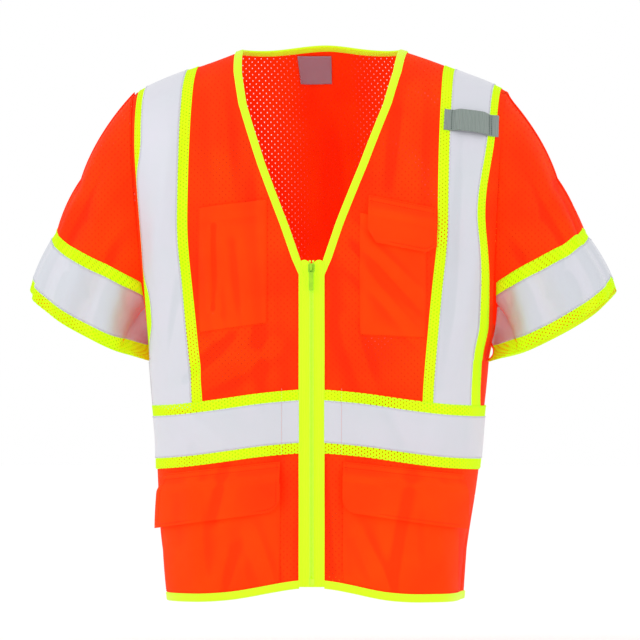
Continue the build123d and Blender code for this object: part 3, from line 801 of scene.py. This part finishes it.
def sleeve_point(turn, beta):
    """Sleeve point from its turn in degrees and its place round the section."""
    share = (turn - SLEEVE_START) / (SLEEVE_END - SLEEVE_START)
    near = UNDERARM_RADIUS[0] + (UNDERARM_RADIUS[1] - UNDERARM_RADIUS[0]) * share
    rise = (1 + np.cos(beta)) / 2
    along = near + (table(FOLD, turn) - near) * rise
    seam_along = UNDERARM_RADIUS[0] + (FOLD[0][1] - UNDERARM_RADIUS[0]) * rise
    start = math.radians(SLEEVE_START)
    seam_x = PIVOT[0] + seam_along * math.sin(start)
    seam_z = PIVOT[1] + seam_along * math.cos(start)
    lens = -on_form(seam_x, seam_z, -1)[..., 1]
    lens = np.where(np.sin(beta) >= 0, lens, -lens)
    depth = lens * (1 - ease(share)) + CUFF_HALF_DEPTH * np.sin(beta) * ease(share)
    sag = CUFF_SAG * np.abs(np.sin(beta)) * (SAG_MIDDLE + SAG_LEAN * np.cos(beta)) * ease(share)
    angle = np.radians(turn) + sag / along
    return np.stack([PIVOT[0] + along * np.sin(angle), -depth, PIVOT[1] + along * np.cos(angle)], -1)


def sleeve_folds(turn, beta):
    """Height of the sleeve's folds, which fade out at the armhole."""
    share = (turn - SLEEVE_START) / (SLEEVE_END - SLEEVE_START)
    total = np.zeros(np.broadcast(turn, beta).shape)
    for place, width, height in SLEEVE_FOLDS:
        apart = (beta - place - 0.12 * (share - 0.5) + np.pi) % (2 * np.pi) - np.pi
        total += height * np.exp(-((apart / (width * (0.75 + 0.6 * share))) ** 2))
    swell = 1.4 * np.sin(3.1 * beta + 5.0 * share) + 1.0 * np.sin(7.3 * share + 1.7 * beta)
    return (total + swell) * ease(share / 0.35) * (0.55 + 0.45 * share)


def on_sleeve(side, turn, beta, height):
    """Sleeve points lifted along the normal of the section."""
    turn, beta = np.broadcast_arrays(np.asarray(turn, float), np.asarray(beta, float))
    here = sleeve_point(turn, beta)
    run = sleeve_point(turn, beta + 0.03) - sleeve_point(turn, beta - 0.03)
    angle = np.radians(turn)
    radial = run[..., 0] * np.sin(angle) + run[..., 2] * np.cos(angle)
    length = np.maximum(np.hypot(radial, run[..., 1]), 1e-6)
    normal = np.stack([-run[..., 1] / length * np.sin(angle), radial / length,
                       -run[..., 1] / length * np.cos(angle)], -1)
    lifted = here + normal * (sleeve_folds(turn, beta) + height)[..., None]
    along = np.hypot(here[..., 0] - PIVOT[0], here[..., 2] - PIVOT[1])
    lifted[..., 0] -= UNDERARM_PULL * np.exp(-((along / 24) ** 2))
    if side > 0:
        lifted[..., 0] -= SLEEVE_TUCK * ease((here[..., 2] + 300) / 110) * ease((here[..., 0] - 212) / 30)
    return lifted * (side, 1, 1), normal * (side, 1, 1)


def reach_of(turn, beta):
    """Distance of a sleeve point from the cuff line, in the front view."""
    share = (turn - SLEEVE_START) / (SLEEVE_END - SLEEVE_START)
    near = UNDERARM_RADIUS[0] + (UNDERARM_RADIUS[1] - UNDERARM_RADIUS[0]) * share
    along = near + (table(FOLD, turn) - near) * (1 + np.cos(beta)) / 2
    return along * np.sin(np.radians(SLEEVE_END - turn))


def reach_turn(reach, beta):
    """Turn at which the sleeve is a given way above the cuff, at most up to the armhole."""
    reach, beta = np.broadcast_arrays(np.asarray(reach, float), np.asarray(beta, float))
    low = np.full(reach.shape, float(SLEEVE_START))
    high = np.full(reach.shape, float(SLEEVE_END) + 1.0)
    for _ in range(24):
        middle = (low + high) / 2
        above = reach_of(middle, beta) > reach
        low = np.where(above, middle, low)
        high = np.where(above, high, middle)
    return high


def sleeve_grid(side, low, high, rows, height):
    """Band above the cuff, cut off where it meets the armhole."""
    beta = (2 * np.linspace(0, 1, SLEEVE_COLUMNS + 1) - 1) * (np.pi - BAND_OPENING)
    share, beta = np.meshgrid(np.linspace(0, 1, rows + 1), beta, indexing="ij")
    top = np.minimum(high, 0.97 * reach_of(SLEEVE_START, beta))
    return on_sleeve(side, reach_turn(low + (top - low) * share, beta), beta, height)[0]


for side, hand in SIDES:
    turn = np.linspace(SLEEVE_START, SLEEVE_END, SLEEVE_ROWS + 1)
    beta = np.linspace(-np.pi, np.pi, SLEEVE_COLUMNS, endpoint=False)
    turn, beta = np.meshgrid(turn, beta, indexing="ij")
    above = reach_of(turn, beta)
    under_band = ease((above - FACING_WIDTH) / 4) * ease((TRIM_WIDTH - 4 - above) / 6)
    points = on_sleeve(side, turn, beta, CLOTH - SLEEVE_SUNK * under_band)[0]
    loop_uv = np.stack([side * points[..., 0], points[..., 2]], -1)
    sleeve = cloth(f"sleeve_cloth_{hand}", points, mesh_orange,
                   loop=True, flip=side < 0, uv=loop_uv)
    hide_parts(f"sleeve_{hand}")
    trim = cloth(f"sleeve_band_trim_{hand}", sleeve_grid(side, -0.6, TRIM_WIDTH, 16, TRIM),
                 lime_mesh, thick=TRIM_THICK, flip=side < 0)
    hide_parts(f"sleeve_trim_{hand}")
    cloth(f"cuff_facing_{hand}", sleeve_grid(side, -0.4, FACING_WIDTH, 6, FACING_IN),
          lime_binding, thick=TRIM_THICK, flip=side < 0)
    band = sleeve_grid(side, TRIM_MARGIN, TRIM_MARGIN + TAPE_WIDTH, 14, TAPE)
    tape = cloth(f"sleeve_band_tape_{hand}", band, silver, thick=TAPE_THICK, flip=side < 0)
    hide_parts(f"sleeve_tape_{hand}")


# ------------------------------------------------------------- bands and tapes
def stripe(side, from_in, from_out, columns, rows):
    """Form points of a shoulder stripe that runs over the shoulder."""
    s, t = np.meshgrid(np.linspace(0, 1, columns + 1), np.linspace(0, 1, rows + 1))
    face = np.where(t < 0.5, -1.0, 1.0)
    climb = np.minimum(t, 1 - t) / 0.25
    straight = climb < 1
    z = np.where(straight, STRIPE_BOTTOM + (STRIPE_TURN - STRIPE_BOTTOM) * np.minimum(climb, 1), STRIPE_TURN)
    turn = np.pi * (t - 0.25) / 0.5
    way = np.stack([np.zeros_like(t), np.where(straight, face, -np.cos(turn)),
                    np.where(straight, 0, np.sin(turn))], -1)
    start_z = z.copy()
    widest = max(width for _, width in from_out)
    found = None
    for _ in range(7):
        inner = table(STRIPE_IN, z, STRIPE_SOFT) + from_in
        margin = np.where(face < 0, table(from_out, z, STRIPE_SOFT / 2), widest)
        outer = table(STRIPE_OUT[side], z, STRIPE_SOFT) - margin
        x = side * (inner + (outer - inner) * s)
        found = meet(np.stack([x, np.zeros_like(x), start_z], -1), way)
        z = found[..., 2]
    return found


def ring(start, end, edge, low, high, rows, columns):
    """Form points of a level band round the body between two angles in degrees."""
    s, t = grid(rows, columns)
    turn = np.radians(start + (end - start) * t)
    way = np.stack([np.sin(turn), -np.cos(turn), np.zeros_like(turn)], -1)
    x = np.zeros_like(s)
    found = None
    for _ in range(5):
        z = table(edge, np.abs(x), HEM_SOFT) + low + (high - low) * s
        found = meet(np.stack([np.zeros_like(z), np.zeros_like(z), z], -1), way)
        x = found[..., 0]
    return found


for side, hand in SIDES:
    band = on_body(stripe(side, 0, [(0, 0)], 24, STRIPE_ROWS), TRIM)
    trim = cloth(f"stripe_trim_{hand}", band, lime_mesh, thick=TRIM_THICK, flip=side < 0)
    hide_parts(f"shoulder_trim_{hand}")
    band = on_body(stripe(side, STRIPE_TAPE_IN, STRIPE_TAPE_OUT[side], 16, STRIPE_ROWS), TAPE)
    tape = cloth(f"stripe_tape_{hand}", band, silver, thick=TAPE_THICK, flip=side < 0)
    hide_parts(f"shoulder_tape_{hand}")

ZIP_SIDE = math.degrees(math.atan2(15.2, 117))
SEAM_SIDE = 90
WAIST_RUNS = {
    "front_left": (ZIP_SIDE, SEAM_SIDE, 150),
    "front_right": (-SEAM_SIDE, -ZIP_SIDE, 150),
    "back": (180 - SEAM_SIDE, 180 + SEAM_SIDE, 300),
}
for name, (start, end, columns) in WAIST_RUNS.items():
    band = on_body(ring(start, end, WAIST, 0, TRIM_WIDTH, 20, columns), WAIST_TRIM)
    trim = cloth(f"waist_band_trim_{name}", band, lime_mesh, thick=TRIM_THICK)
    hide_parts(f"waist_trim_{name}")
    band = on_body(ring(start, end, WAIST, TRIM_MARGIN, TRIM_MARGIN + TAPE_WIDTH, 16, columns), WAIST_TAPE)
    tape = cloth(f"waist_band_tape_{name}", band, silver, thick=TAPE_THICK)
    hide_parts(f"waist_tape_{name}")


# -------------------------------------------------------------------- bindings
# Section of a binding folded over an edge: how far in from the edge, and its height
BINDING_SECTION = [
    (1.0, 0.9), (0.99, 1.5), (0.9, BINDING_OUT), (0.5, BINDING_OUT + 0.15), (0.12, BINDING_OUT),
    (0.0, 1.5), (-0.04, 0.5), (0.0, -0.5), (0.12, BINDING_IN), (0.5, BINDING_IN), (0.9, BINDING_IN),
    (1.0, -0.2),
]


def binding(name, place, columns, node, flip=False):
    """A folded strip swept along an edge."""
    t = np.linspace(0, 1, columns + 1)
    rows = [on_body(place(np.full_like(t, inward), t), np.full_like(t, height))
            for inward, height in BINDING_SECTION]
    points = np.stack(rows)
    strip = cloth(name, points, lime_binding, thick=0, flip=flip)
    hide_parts(node)
    return strip


def hem_place(s, t):
    """Form points of the hem binding, s up from the hem and t round the body."""
    turn = np.radians(ZIP_SIDE + (360 - 2 * ZIP_SIDE) * t)
    way = np.stack([np.sin(turn), -np.cos(turn), np.zeros_like(turn)], -1)
    x = np.zeros_like(t)
    found = None
    for _ in range(5):
        z = table(HEM, np.abs(x), HEM_SOFT) + BINDING_WIDTH * s
        found = meet(np.stack([np.zeros_like(z), np.zeros_like(z), z], -1), way)
        x = found[..., 0]
    return found


def neck_place(s, t):
    """Up one side of the neck opening, round the back and down the other side."""
    turn = 3 * t
    side = np.where(turn < 1.5, 1.0, -1.0)
    swing = np.cos(np.pi * (np.clip(turn, 1, 2) - 1))
    x_back = (NECK_X + BINDING_WIDTH * s) * swing
    drop = BACK_NECK_DROP + (BINDING_WIDTH - 3.0) * s
    z_back = ridge(x_back) - drop * (1 - swing * swing)
    back_points = on_form(x_back, z_back, 1)
    up = np.where(turn < 1.5, np.minimum(turn, 1), np.minimum(3 - turn, 1))
    top = ridge(NECK_X + BINDING_WIDTH * s)
    low = VEE_BOTTOM - VEE_TAIL
    z = low + (top - low) * np.sin(np.pi * up / 2)
    tail = np.maximum(0, VEE_BOTTOM - z) / VEE_TAIL
    x = np.where(up >= 1, NECK_X, table(VEE, z) - 6.0 * tail) + (BINDING_WIDTH - 2.8 * tail) * s
    front_points = on_form(side * x, z, -1)
    return np.where(((turn > 1) & (turn < 2))[..., None], back_points, front_points)


binding("hem_fold_strip", hem_place, 420, "hem_binding")
binding("neck_fold_strip", neck_place, 420, "neck_binding", flip=True)


# --------------------------------------------------------------------- pockets
def line(x_start, z_start, x_end, z_end):
    """A straight edge in the front view, as a height over x."""
    return lambda x: z_start + (z_end - z_start) * (x - x_start) / (x_end - x_start)


def spread(t):
    """Bunches the columns of a grid towards both edges."""
    return (1 - np.cos(np.pi * t)) / 2


def patch_points(side, bottom, top, x_in, x_out, s, t):
    """Form points of a patch between two edges."""
    x = x_in + (x_out - x_in) * t
    z = bottom(x) + (top(x) - bottom(x)) * s
    return on_form(side * x, z, -1)


POCKET_SEWN = 1.0
POCKET_THICK = 0.7
POCKET_ROWS = 70
POCKET_COLUMNS = 70
HEM_FOLD = 18.0


def pocket_height(side, s, t, base, depth, hemmed, divider):
    """Height of a pocket front over the cloth: sewn edges, puffed middle, top hem."""
    edge = 1 - np.abs(2 * t - 1) ** 9
    floor = 1 - (1 - s) ** 12
    slack = 0.75 + 0.25 * np.sin(2.3 * s + 4.1 * t + side)
    height = POCKET_SEWN + depth * edge * floor * slack
    height += 0.7 * np.sin(9 * t + 3 * s + side) * edge * floor
    if hemmed:
        height += 0.5 * ease((base[..., 2] - hemmed(np.abs(base[..., 0])) + HEM_FOLD) / 1.5) * edge
    if divider:
        x, low, high = divider
        near = np.exp(-(((np.abs(base[..., 0]) - x) / 3.2) ** 2))
        span = ease((base[..., 2] - low) / 8) * ease((high - base[..., 2]) / 8)
        height -= (height - POCKET_SEWN) * near * span * 0.85
    return height


def pocket(name, side, bottom, top, x_in, x_out, depth, nodes, hemmed=None, divider=None):
    """One pocket front."""
    s, t = grid(POCKET_ROWS, POCKET_COLUMNS)
    t = spread(t)
    base = patch_points(side, bottom, top, x_in, x_out, s, t)
    height = pocket_height(side, s, t, base, depth, hemmed, divider)
    piece = cloth(name, on_body(base, height), solid_orange,
                  thick=POCKET_THICK, flip=side < 0)
    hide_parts(*nodes)
    return piece


def surface_path(side, corners, height, step=2.0):
    """A stitch path through (x, z) corners, at a height over the folds."""
    places = []
    for (x0, z0), (x1, z1) in zip(corners, corners[1:]):
        count = max(2, int(math.hypot(x1 - x0, z1 - z0) / step))
        share = np.linspace(0, 1, count, endpoint=False)
        places.append(np.stack([x0 + (x1 - x0) * share, z0 + (z1 - z0) * share], -1))
    places.append(np.array([corners[-1]], float))
    places = np.concatenate(places)
    base = on_form(side * places[:, 0], places[:, 1], -1)
    height = height(places[:, 0], places[:, 1]) if callable(height) else np.full(len(base), float(height))
    return on_body(base, height), outward(base)


FLAP_FOLD = 7.0
FLAP_THICK = 1.3
FLAP_ROWS = 46
FLAP_COLUMNS = 80


def flap_height(down, lift):
    """Sewn at the top, over the pocket below the fold."""
    sewn = 1.9 + 1.2 * ease(down / FLAP_FOLD)
    return sewn + (lift - 3.1) * ease((down - FLAP_FOLD + 1) / 16)


def flap(name, side, bottom, top, x_in, x_out, lift, body, nodes, blend_ends):
    """A pocket flap in one piece: a sewn strip down to the fold, and below it the leaf lifted out over the
    pocket.
    """
    s, t = grid(FLAP_ROWS, FLAP_COLUMNS)
    t = spread(t)
    x = x_in + (x_out - x_in) * t
    z = bottom(x) + (top(x) - bottom(x)) * s
    base = on_form(side * x, z, -1)
    height = flap_height(top(x) - z, lift) + 0.8 * np.sin(5.5 * t + 2 * s + side) * (1 - s)
    piece = cloth(name, on_body(base, height), solid_orange,
                  body=None, thick=FLAP_THICK, flip=side < 0)
    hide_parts(*nodes)
    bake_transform(piece)
    return piece


def flap_stitching(name, side, bottom, top, x_in, x_out, lift, body, blend_ends, inset=4.0):
    """Edge stitching of a flap, and the row beside its fold."""
    def height(x, z):
        return flap_height(top(x) - z, lift) + 0.75
    edge_x = np.linspace(x_in + inset, x_out - inset, 24)
    lower = [(x, bottom(x) + inset) for x in edge_x]
    corners = [(x_in + inset, top(x_in) - 2), *lower, (x_out - inset, top(x_out) - 2)]
    rows = [surface_path(side, corners, height)]
    for down in (FLAP_FOLD, 1.6):
        corners = [(x_in + 1, top(x_in) - down), (x_out - 1, top(x_out) - down)]
        rows.append(surface_path(side, corners, height))
    piece = stitches(name, rows, thread_orange_and_edge_shade, body=None)
    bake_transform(piece)
    return piece


def nap_patch(name, side, bottom, top, x_in, x_out, height, body, node):
    """Hook or loop tape with a tufted face."""
    s, t = grid(16, 48)
    base = patch_points(side, bottom, top, x_in, x_out, s, t)
    tufts = 0.18 * rng.random(s.shape)
    piece = cloth(name, on_body(base, height + tufts), fastener,
                  body=body, thick=0.5, flip=side < 0)
    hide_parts(node)
    return piece


# Inner and outer x of each pocket and flap
CHEST_LEFT_SIDES = (58, 136)
CHEST_RIGHT_SIDES = (54, 136)
CHEST_FLAP_SIDES = (68, 148.5)
HIP_SIDES = (38, 176)
HIP_FLAP_SIDES = (38, 179)
FLAP_MIDDLE = 108
CHEST_PATCH_SIDES = (80, 125)
HIP_PATCH_SIDES = (70, 130)
CHEST_TOP = line(68, -175, 148.5, -191)
CHEST_LIFT = 8.4
# Depth and width of the chest flap's clipped corners, inner and outer
CHEST_CLIPS = ((14, 10), (9, 12))
HIP_CORNER = 16


def clipped_bottom(x):
    """Lower edge of the chest flap, its corners cut off."""
    (inner_deep, inner_wide), (outer_deep, outer_wide) = CHEST_CLIPS
    inner = inner_deep * np.maximum(0.0, 1 - (x - CHEST_FLAP_SIDES[0]) / inner_wide)
    outer = outer_deep * np.maximum(0.0, 1 - (CHEST_FLAP_SIDES[1] - x) / outer_wide)
    return line(68, -230, 148.5, -246)(x) + inner + outer


def rounded_bottom(x):
    """Lower edge of a hip flap, its inner corner rounded."""
    into = np.clip(HIP_FLAP_SIDES[0] + HIP_CORNER - x, 0, HIP_CORNER)
    corner = HIP_CORNER - np.sqrt(np.maximum(0, HIP_CORNER**2 - into**2))
    return line(38, -553, 179, -573)(x) + corner


chest_left_top = line(58, -196, 138, -212)
chest_left_bottom = line(58, -342, 138, -346)
chest_right_top = line(59, -181, 148, -192)
chest_right_bottom = line(45, -327, 139, -340)
hip_top = line(38, -519, 176, -533)
HIP_FLAP_TOP = line(38, -493, 179, -508.5)
HIP_LIFT = 8.8


def hip_bottom(x):
    """Lower edge of a hip pocket, on the hem binding."""
    return hem_line(x) + BINDING_WIDTH + 0.2


pocket("chest_pocket_front_left", 1, chest_left_bottom, chest_left_top, *CHEST_LEFT_SIDES, 5.2,
       ["chest_pocket_left"])
pocket("chest_pocket_front_right", -1, chest_right_bottom, chest_right_top, *CHEST_RIGHT_SIDES, 3.6,
       ["chest_pocket_right", "pen_divider"], chest_right_top, (117, -318, -205))
nap_patch("chest_loop_patch", 1, line(80, -227, 125, -234), line(80, -214, 125, -221),
          *CHEST_PATCH_SIDES, 6.6, "vest", "chest_pocket_loop")
nap_patch("chest_hook_patch", 1, line(80, -226, 125, -233), line(80, -213, 125, -220),
          *CHEST_PATCH_SIDES, 7.5, "chest_flap", "chest_flap_hook")


def blend_line(side, x, top):
    """Where a flap starts and stops bending, from its sewn strip into the leaf."""
    upper = on_form(np.array([side * x]), np.array([top(x) - FLAP_FOLD + 1.5]), -1)[0] * MM
    lower = on_form(np.array([side * x]), np.array([top(x) - FLAP_FOLD - 9]), -1)[0] * MM
    return tuple(upper), tuple(lower)


chest_bend = blend_line(1, FLAP_MIDDLE, CHEST_TOP)
flap("chest_flap_cloth", 1, clipped_bottom, CHEST_TOP, *CHEST_FLAP_SIDES, CHEST_LIFT, "chest_flap",
     ["chest_flap", "chest_flap_seam"], chest_bend)
flap_stitching("chest_flap_stitches", 1, clipped_bottom, CHEST_TOP, *CHEST_FLAP_SIDES, CHEST_LIFT,
               "chest_flap", chest_bend)

for side, hand in SIDES:
    pocket(f"hip_pocket_front_{hand}", side, hip_bottom, hip_top, *HIP_SIDES, 5.6, [f"hip_pocket_{hand}"])
    nap_patch(f"hip_loop_patch_{hand}", side, line(60, -550, 150, -559), line(60, -537, 150, -546),
              *HIP_PATCH_SIDES, 7.0, "vest", f"hip_pocket_loop_{hand}")
    nap_patch(f"hip_hook_patch_{hand}", side, line(60, -549, 150, -558), line(60, -536, 150, -545),
              *HIP_PATCH_SIDES, 7.9, f"hip_flap_{hand}", f"hip_flap_hook_{hand}")
    hip_bend = blend_line(side, FLAP_MIDDLE, HIP_FLAP_TOP)
    flap(f"hip_flap_cloth_{hand}", side, rounded_bottom, HIP_FLAP_TOP, *HIP_FLAP_SIDES, HIP_LIFT,
         f"hip_flap_{hand}", [f"hip_flap_{hand}", f"hip_flap_seam_{hand}"], hip_bend)
    flap_stitching(f"hip_flap_stitches_{hand}", side, rounded_bottom, HIP_FLAP_TOP, *HIP_FLAP_SIDES, HIP_LIFT,
                   f"hip_flap_{hand}", hip_bend)

# ---------------------------------------------------------- mic tab and label
TAB_RIB_PITCH = 1.5
s, t = grid(24, 210)
base = patch_points(1, line(155, -98, 218, -106), line(155, -74, 218, -81), 155, 218, s, t)
bulge = 4.8 * ease((t - 0.14) / 0.16) * ease((0.86 - t) / 0.16)
ribs = 0.22 * np.sin(2 * np.pi * t * 63 / TAB_RIB_PITCH)
tab = cloth("mic_tab_webbing", on_body(base, 3.4 + bulge + ribs), webbing_grey, thick=1.2)
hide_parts("mic_tab")

s, t = grid(24, 30)
taper = 1.5 * (1 - s)
base = on_form(-35.5 + taper + (41 - 2 * taper) * t, -37 + 33 * s, 1)
curl = -1.4 - 0.9 * np.sin(np.pi * t) * (1 - s) - 0.5 * np.sin(6 * t + 1) * (1 - s)
size_label = cloth("size_label_cloth", on_body(base, curl), label_grey, thick=0.4)
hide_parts("size_label")

# ------------------------------------------------------------------------- zip
ZIP_TOP = -252
ZIP_BOTTOM = -643
ZIP_IN, ZIP_OUT = 0.0, 15.5
ZIP_NOTCH = 5.0
TAPE_CORNER = 7.0


def zip_profile(x):
    """Height of the zip tape across its width: cord, flat, folded outer edge."""
    cord = 0.9 * np.exp(-(((x - 3.4) / 1.0) ** 2))
    rows = 0.22 * np.cos(2 * np.pi * (x - 6.0) / 2.4) * ease((x - 5) / 1) * ease((14.5 - x) / 1)
    edge = 0.5 * ease((x - 12.6) / 0.8)
    return 1.9 + cord + rows + edge


def zip_tape(side, hand):
    """Half of the zip's tape, its top corner rounded."""
    t, s = np.meshgrid(np.linspace(0, 1, 49), np.linspace(0, 1, 261))
    x = ZIP_IN + (ZIP_OUT - ZIP_IN) * t
    into = np.clip(x - ZIP_OUT + TAPE_CORNER, 0, None)
    corner = TAPE_CORNER - np.sqrt(np.maximum(0, TAPE_CORNER**2 - into**2))
    corner = corner + ZIP_NOTCH * np.exp(-((x / 4.5) ** 2))
    z = ZIP_BOTTOM + (ZIP_TOP - corner - ZIP_BOTTOM) * s
    wander = (0.35 * np.sin(z / 17.0) + 0.3 * np.sin(z / 41.0 + side)) * ease((x - 5) / 4)
    points = np.stack([side * x, FRONT_Y - zip_profile(x) - wander, z], -1)
    piece = cloth(f"zip_cloth_{hand}", points, zip_cloth, thick=0.5, flip=side < 0)
    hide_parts(f"zipper_tape_{hand}")


for side, hand in SIDES:
    zip_tape(side, hand)

for node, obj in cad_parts.items():
    if obj.hide_render:
        continue
    metal = "slider" in node or "pull" in node
    obj.data.materials.clear()
    obj.data.materials.append(zip_metal if metal else zip_plastic)


# ------------------------------------------------------------------- stitching
# How far in from a tape's and a trim's edge, how high over it, and points on a path
TAPE_INSET = 1.3
TRIM_INSET = 1.5
THREAD_RISE = 0.35
STRIPE_STOPS = 400
BAND_STOPS = 300


def stripe_rows(side):
    """Stitch paths along both edges of a shoulder tape and both edges of its trim."""
    inside = [(z, width + TAPE_INSET) for z, width in STRIPE_TAPE_OUT[side]]
    tape_base = stripe(side, STRIPE_TAPE_IN + TAPE_INSET, inside, 1, STRIPE_STOPS)
    trim_base = stripe(side, TRIM_INSET, [(0, TRIM_INSET)], 1, STRIPE_STOPS)
    return tape_base, trim_base


def body_row(base, height):
    """A stitch path along form points, at a height over the folds."""
    return on_body(base, np.full(len(base), height)), outward(base)


for side, hand in SIDES:
    tape_base, trim_base = stripe_rows(side)
    rows = [body_row(tape_base[:, column], TAPE + THREAD_RISE) for column in (0, 1)]
    stitches(f"stripe_tape_stitches_{hand}", rows, thread_white)
    rows = [body_row(trim_base[:, column], TRIM + THREAD_RISE) for column in (0, 1)]
    stitches(f"stripe_trim_stitches_{hand}", rows, thread_lime)
    for kind, height, edges, material in (
        ("tape", TAPE, (TRIM_MARGIN + TAPE_INSET, TRIM_MARGIN + TAPE_WIDTH - TAPE_INSET), thread_white),
        ("trim", TRIM, (2.6, 10.0, TRIM_WIDTH - TRIM_INSET), thread_lime),
    ):
        rows = []
        for reach in edges:
            beta = (2 * np.linspace(0, 1, BAND_STOPS + 1) - 1) * (np.pi - BAND_OPENING)
            beta = beta[reach_of(SLEEVE_START, beta) > reach + 1]
            turn = reach_turn(np.full_like(beta, reach), beta)
            rows.append(on_sleeve(side, turn, beta, height + THREAD_RISE))
        stitches(f"sleeve_{kind}_stitches_{hand}", rows, material)
    seam_turn = np.full(BAND_STOPS, SLEEVE_START + 0.35)
    beta = np.linspace(-ARMHOLE_STITCHED, ARMHOLE_STITCHED, BAND_STOPS)
    seam = on_sleeve(side, seam_turn, beta, CLOTH + 0.5)
    stitches(f"armhole_stitches_{hand}", [seam], thread_orange_and_edge_shade)

for name, (start, end, columns) in WAIST_RUNS.items():
    for kind, height, edges, material, slot_name in (
        ("tape", WAIST_TAPE, (TRIM_MARGIN + TAPE_INSET, TRIM_MARGIN + TAPE_WIDTH - TAPE_INSET),
         thread_white, "reflective_tape"),
        ("trim", WAIST_TRIM, (1.6, TRIM_WIDTH - 1.6), thread_lime, "lime_mesh"),
    ):
        rows = [body_row(ring(start, end, WAIST, low, low + 0.1, 1, BAND_STOPS)[0], height + THREAD_RISE)
                for low in edges]
        stitches(f"waist_{kind}_stitches_{name}", rows, material)

t = np.linspace(0, 1, 500)
rows = [body_row(place(np.full_like(t, 0.82), t), BINDING_OUT + 0.3) for place in (hem_place, neck_place)]
stitches("binding_stitches", rows, thread_lime)

FACING_X = 36
FACING_RUN = [(FACING_X, -405), (FACING_X, -484)]
facing = [surface_path(side, FACING_RUN, WAIST_TAPE + 0.4) for side, hand in SIDES]
stitches("facing_stitches", facing, thread_peach)

# The pocket stitching's dark orange thread also paints the shade round the pocket edges
pocket_rows = []
POCKET_EDGES = [
    (1, chest_left_bottom, chest_left_top, *CHEST_LEFT_SIDES),
    (-1, chest_right_bottom, chest_right_top, *CHEST_RIGHT_SIDES),
    (1, hip_bottom, hip_top, *HIP_SIDES),
    (-1, hip_bottom, hip_top, *HIP_SIDES),
]
for side, bottom, top, x_in, x_out in POCKET_EDGES:
    corners = [(x_in + 0.8, top(x_in)), (x_in + 0.8, bottom(x_in) + 0.9), (x_out - 0.8, bottom(x_out) + 0.9),
               (x_out - 0.8, top(x_out))]
    pocket_rows.append(surface_path(side, corners, POCKET_SEWN + 0.7))
stitches("pocket_stitches", pocket_rows, thread_orange_and_edge_shade)

TAB_STITCH_COLUMNS = (163.5, 166.0, 207.5, 210.0)
tab_rows = [
    surface_path(1, [(x, -98 - (x - 155) * 0.127 + 1), (x, -74 - (x - 155) * 0.111 - 1)], 4.5)
    for x in TAB_STITCH_COLUMNS
]
stitches("mic_tab_stitches", tab_rows, thread_grey, pitch=2.4, wide=0.55)


# --------------------------------------------------------- stage and the camera
FLOOR_Z = -0.72
FRAME_WIDTH = 0.768
CAMERA_WAY = 6
CAMERA_REACH = 12.0
AIM = (-0.0024, -0.06, -0.324)
SENSOR = 36
# Lamps: name, place, size in metres and watts, all turned to the middle of the vest
LAMPS = [("key", (-1.9, -1.5, 1.2), 0.8, 9), ("fill", (2.4, -1.6, 0.2), 0.8, 3)]
LIT_POINT = (0, 0, -0.33)


def studio():
    """Pale floor and backdrop, soft lights all round."""
    bpy.ops.mesh.primitive_plane_add(size=30, location=(0, 0, FLOOR_Z))
    floor = bpy.context.object
    floor.name = "studio_floor"
    n = Nodes("studio_pale")
    n.shade({"Base Color": PALE_FLOOR, "Roughness": 0.9})
    n.glow(WHITE, 0.1)
    floor.data.materials.append(n.material)
    world = bpy.data.worlds.new("studio_white")
    world.use_nodes = True
    world.node_tree.nodes["Background"].inputs[0].default_value = WHITE
    world.node_tree.nodes["Background"].inputs[1].default_value = 1.0
    bpy.context.scene.world = world
    for name, place, size, power in LAMPS:
        light = bpy.data.lights.new(name, "AREA")
        light.size = size
        light.energy = power
        holder = bpy.data.objects.new(name, light)
        holder.location = place
        bpy.context.scene.collection.objects.link(holder)
        aim = np.array(LIT_POINT) - np.array(place)
        pitch = math.atan2(math.hypot(aim[0], aim[1]), -aim[2])
        holder.rotation_euler = (pitch, 0, math.atan2(-aim[0], aim[1]))


def photo_camera():
    """A level view from six degrees round towards the wearer's left."""
    turn = math.radians(CAMERA_WAY)
    lens = bpy.data.cameras.new("photo_camera")
    lens.sensor_width = SENSOR
    lens.lens = SENSOR * CAMERA_REACH / FRAME_WIDTH
    lens.clip_end = 100
    camera = bpy.data.objects.new("photo_camera", lens)
    ahead = np.array([-math.sin(turn), math.cos(turn), 0])
    centre = np.array([AIM[0] * math.cos(turn), AIM[0] * math.sin(turn), AIM[2]]) + ahead * AIM[1]
    camera.location = centre - ahead * CAMERA_REACH
    camera.rotation_euler = (math.radians(90), 0, turn)
    bpy.context.scene.collection.objects.link(camera)
    bpy.context.scene.camera = camera


studio()
photo_camera()
bpy.context.scene.view_settings.view_transform = "Standard"
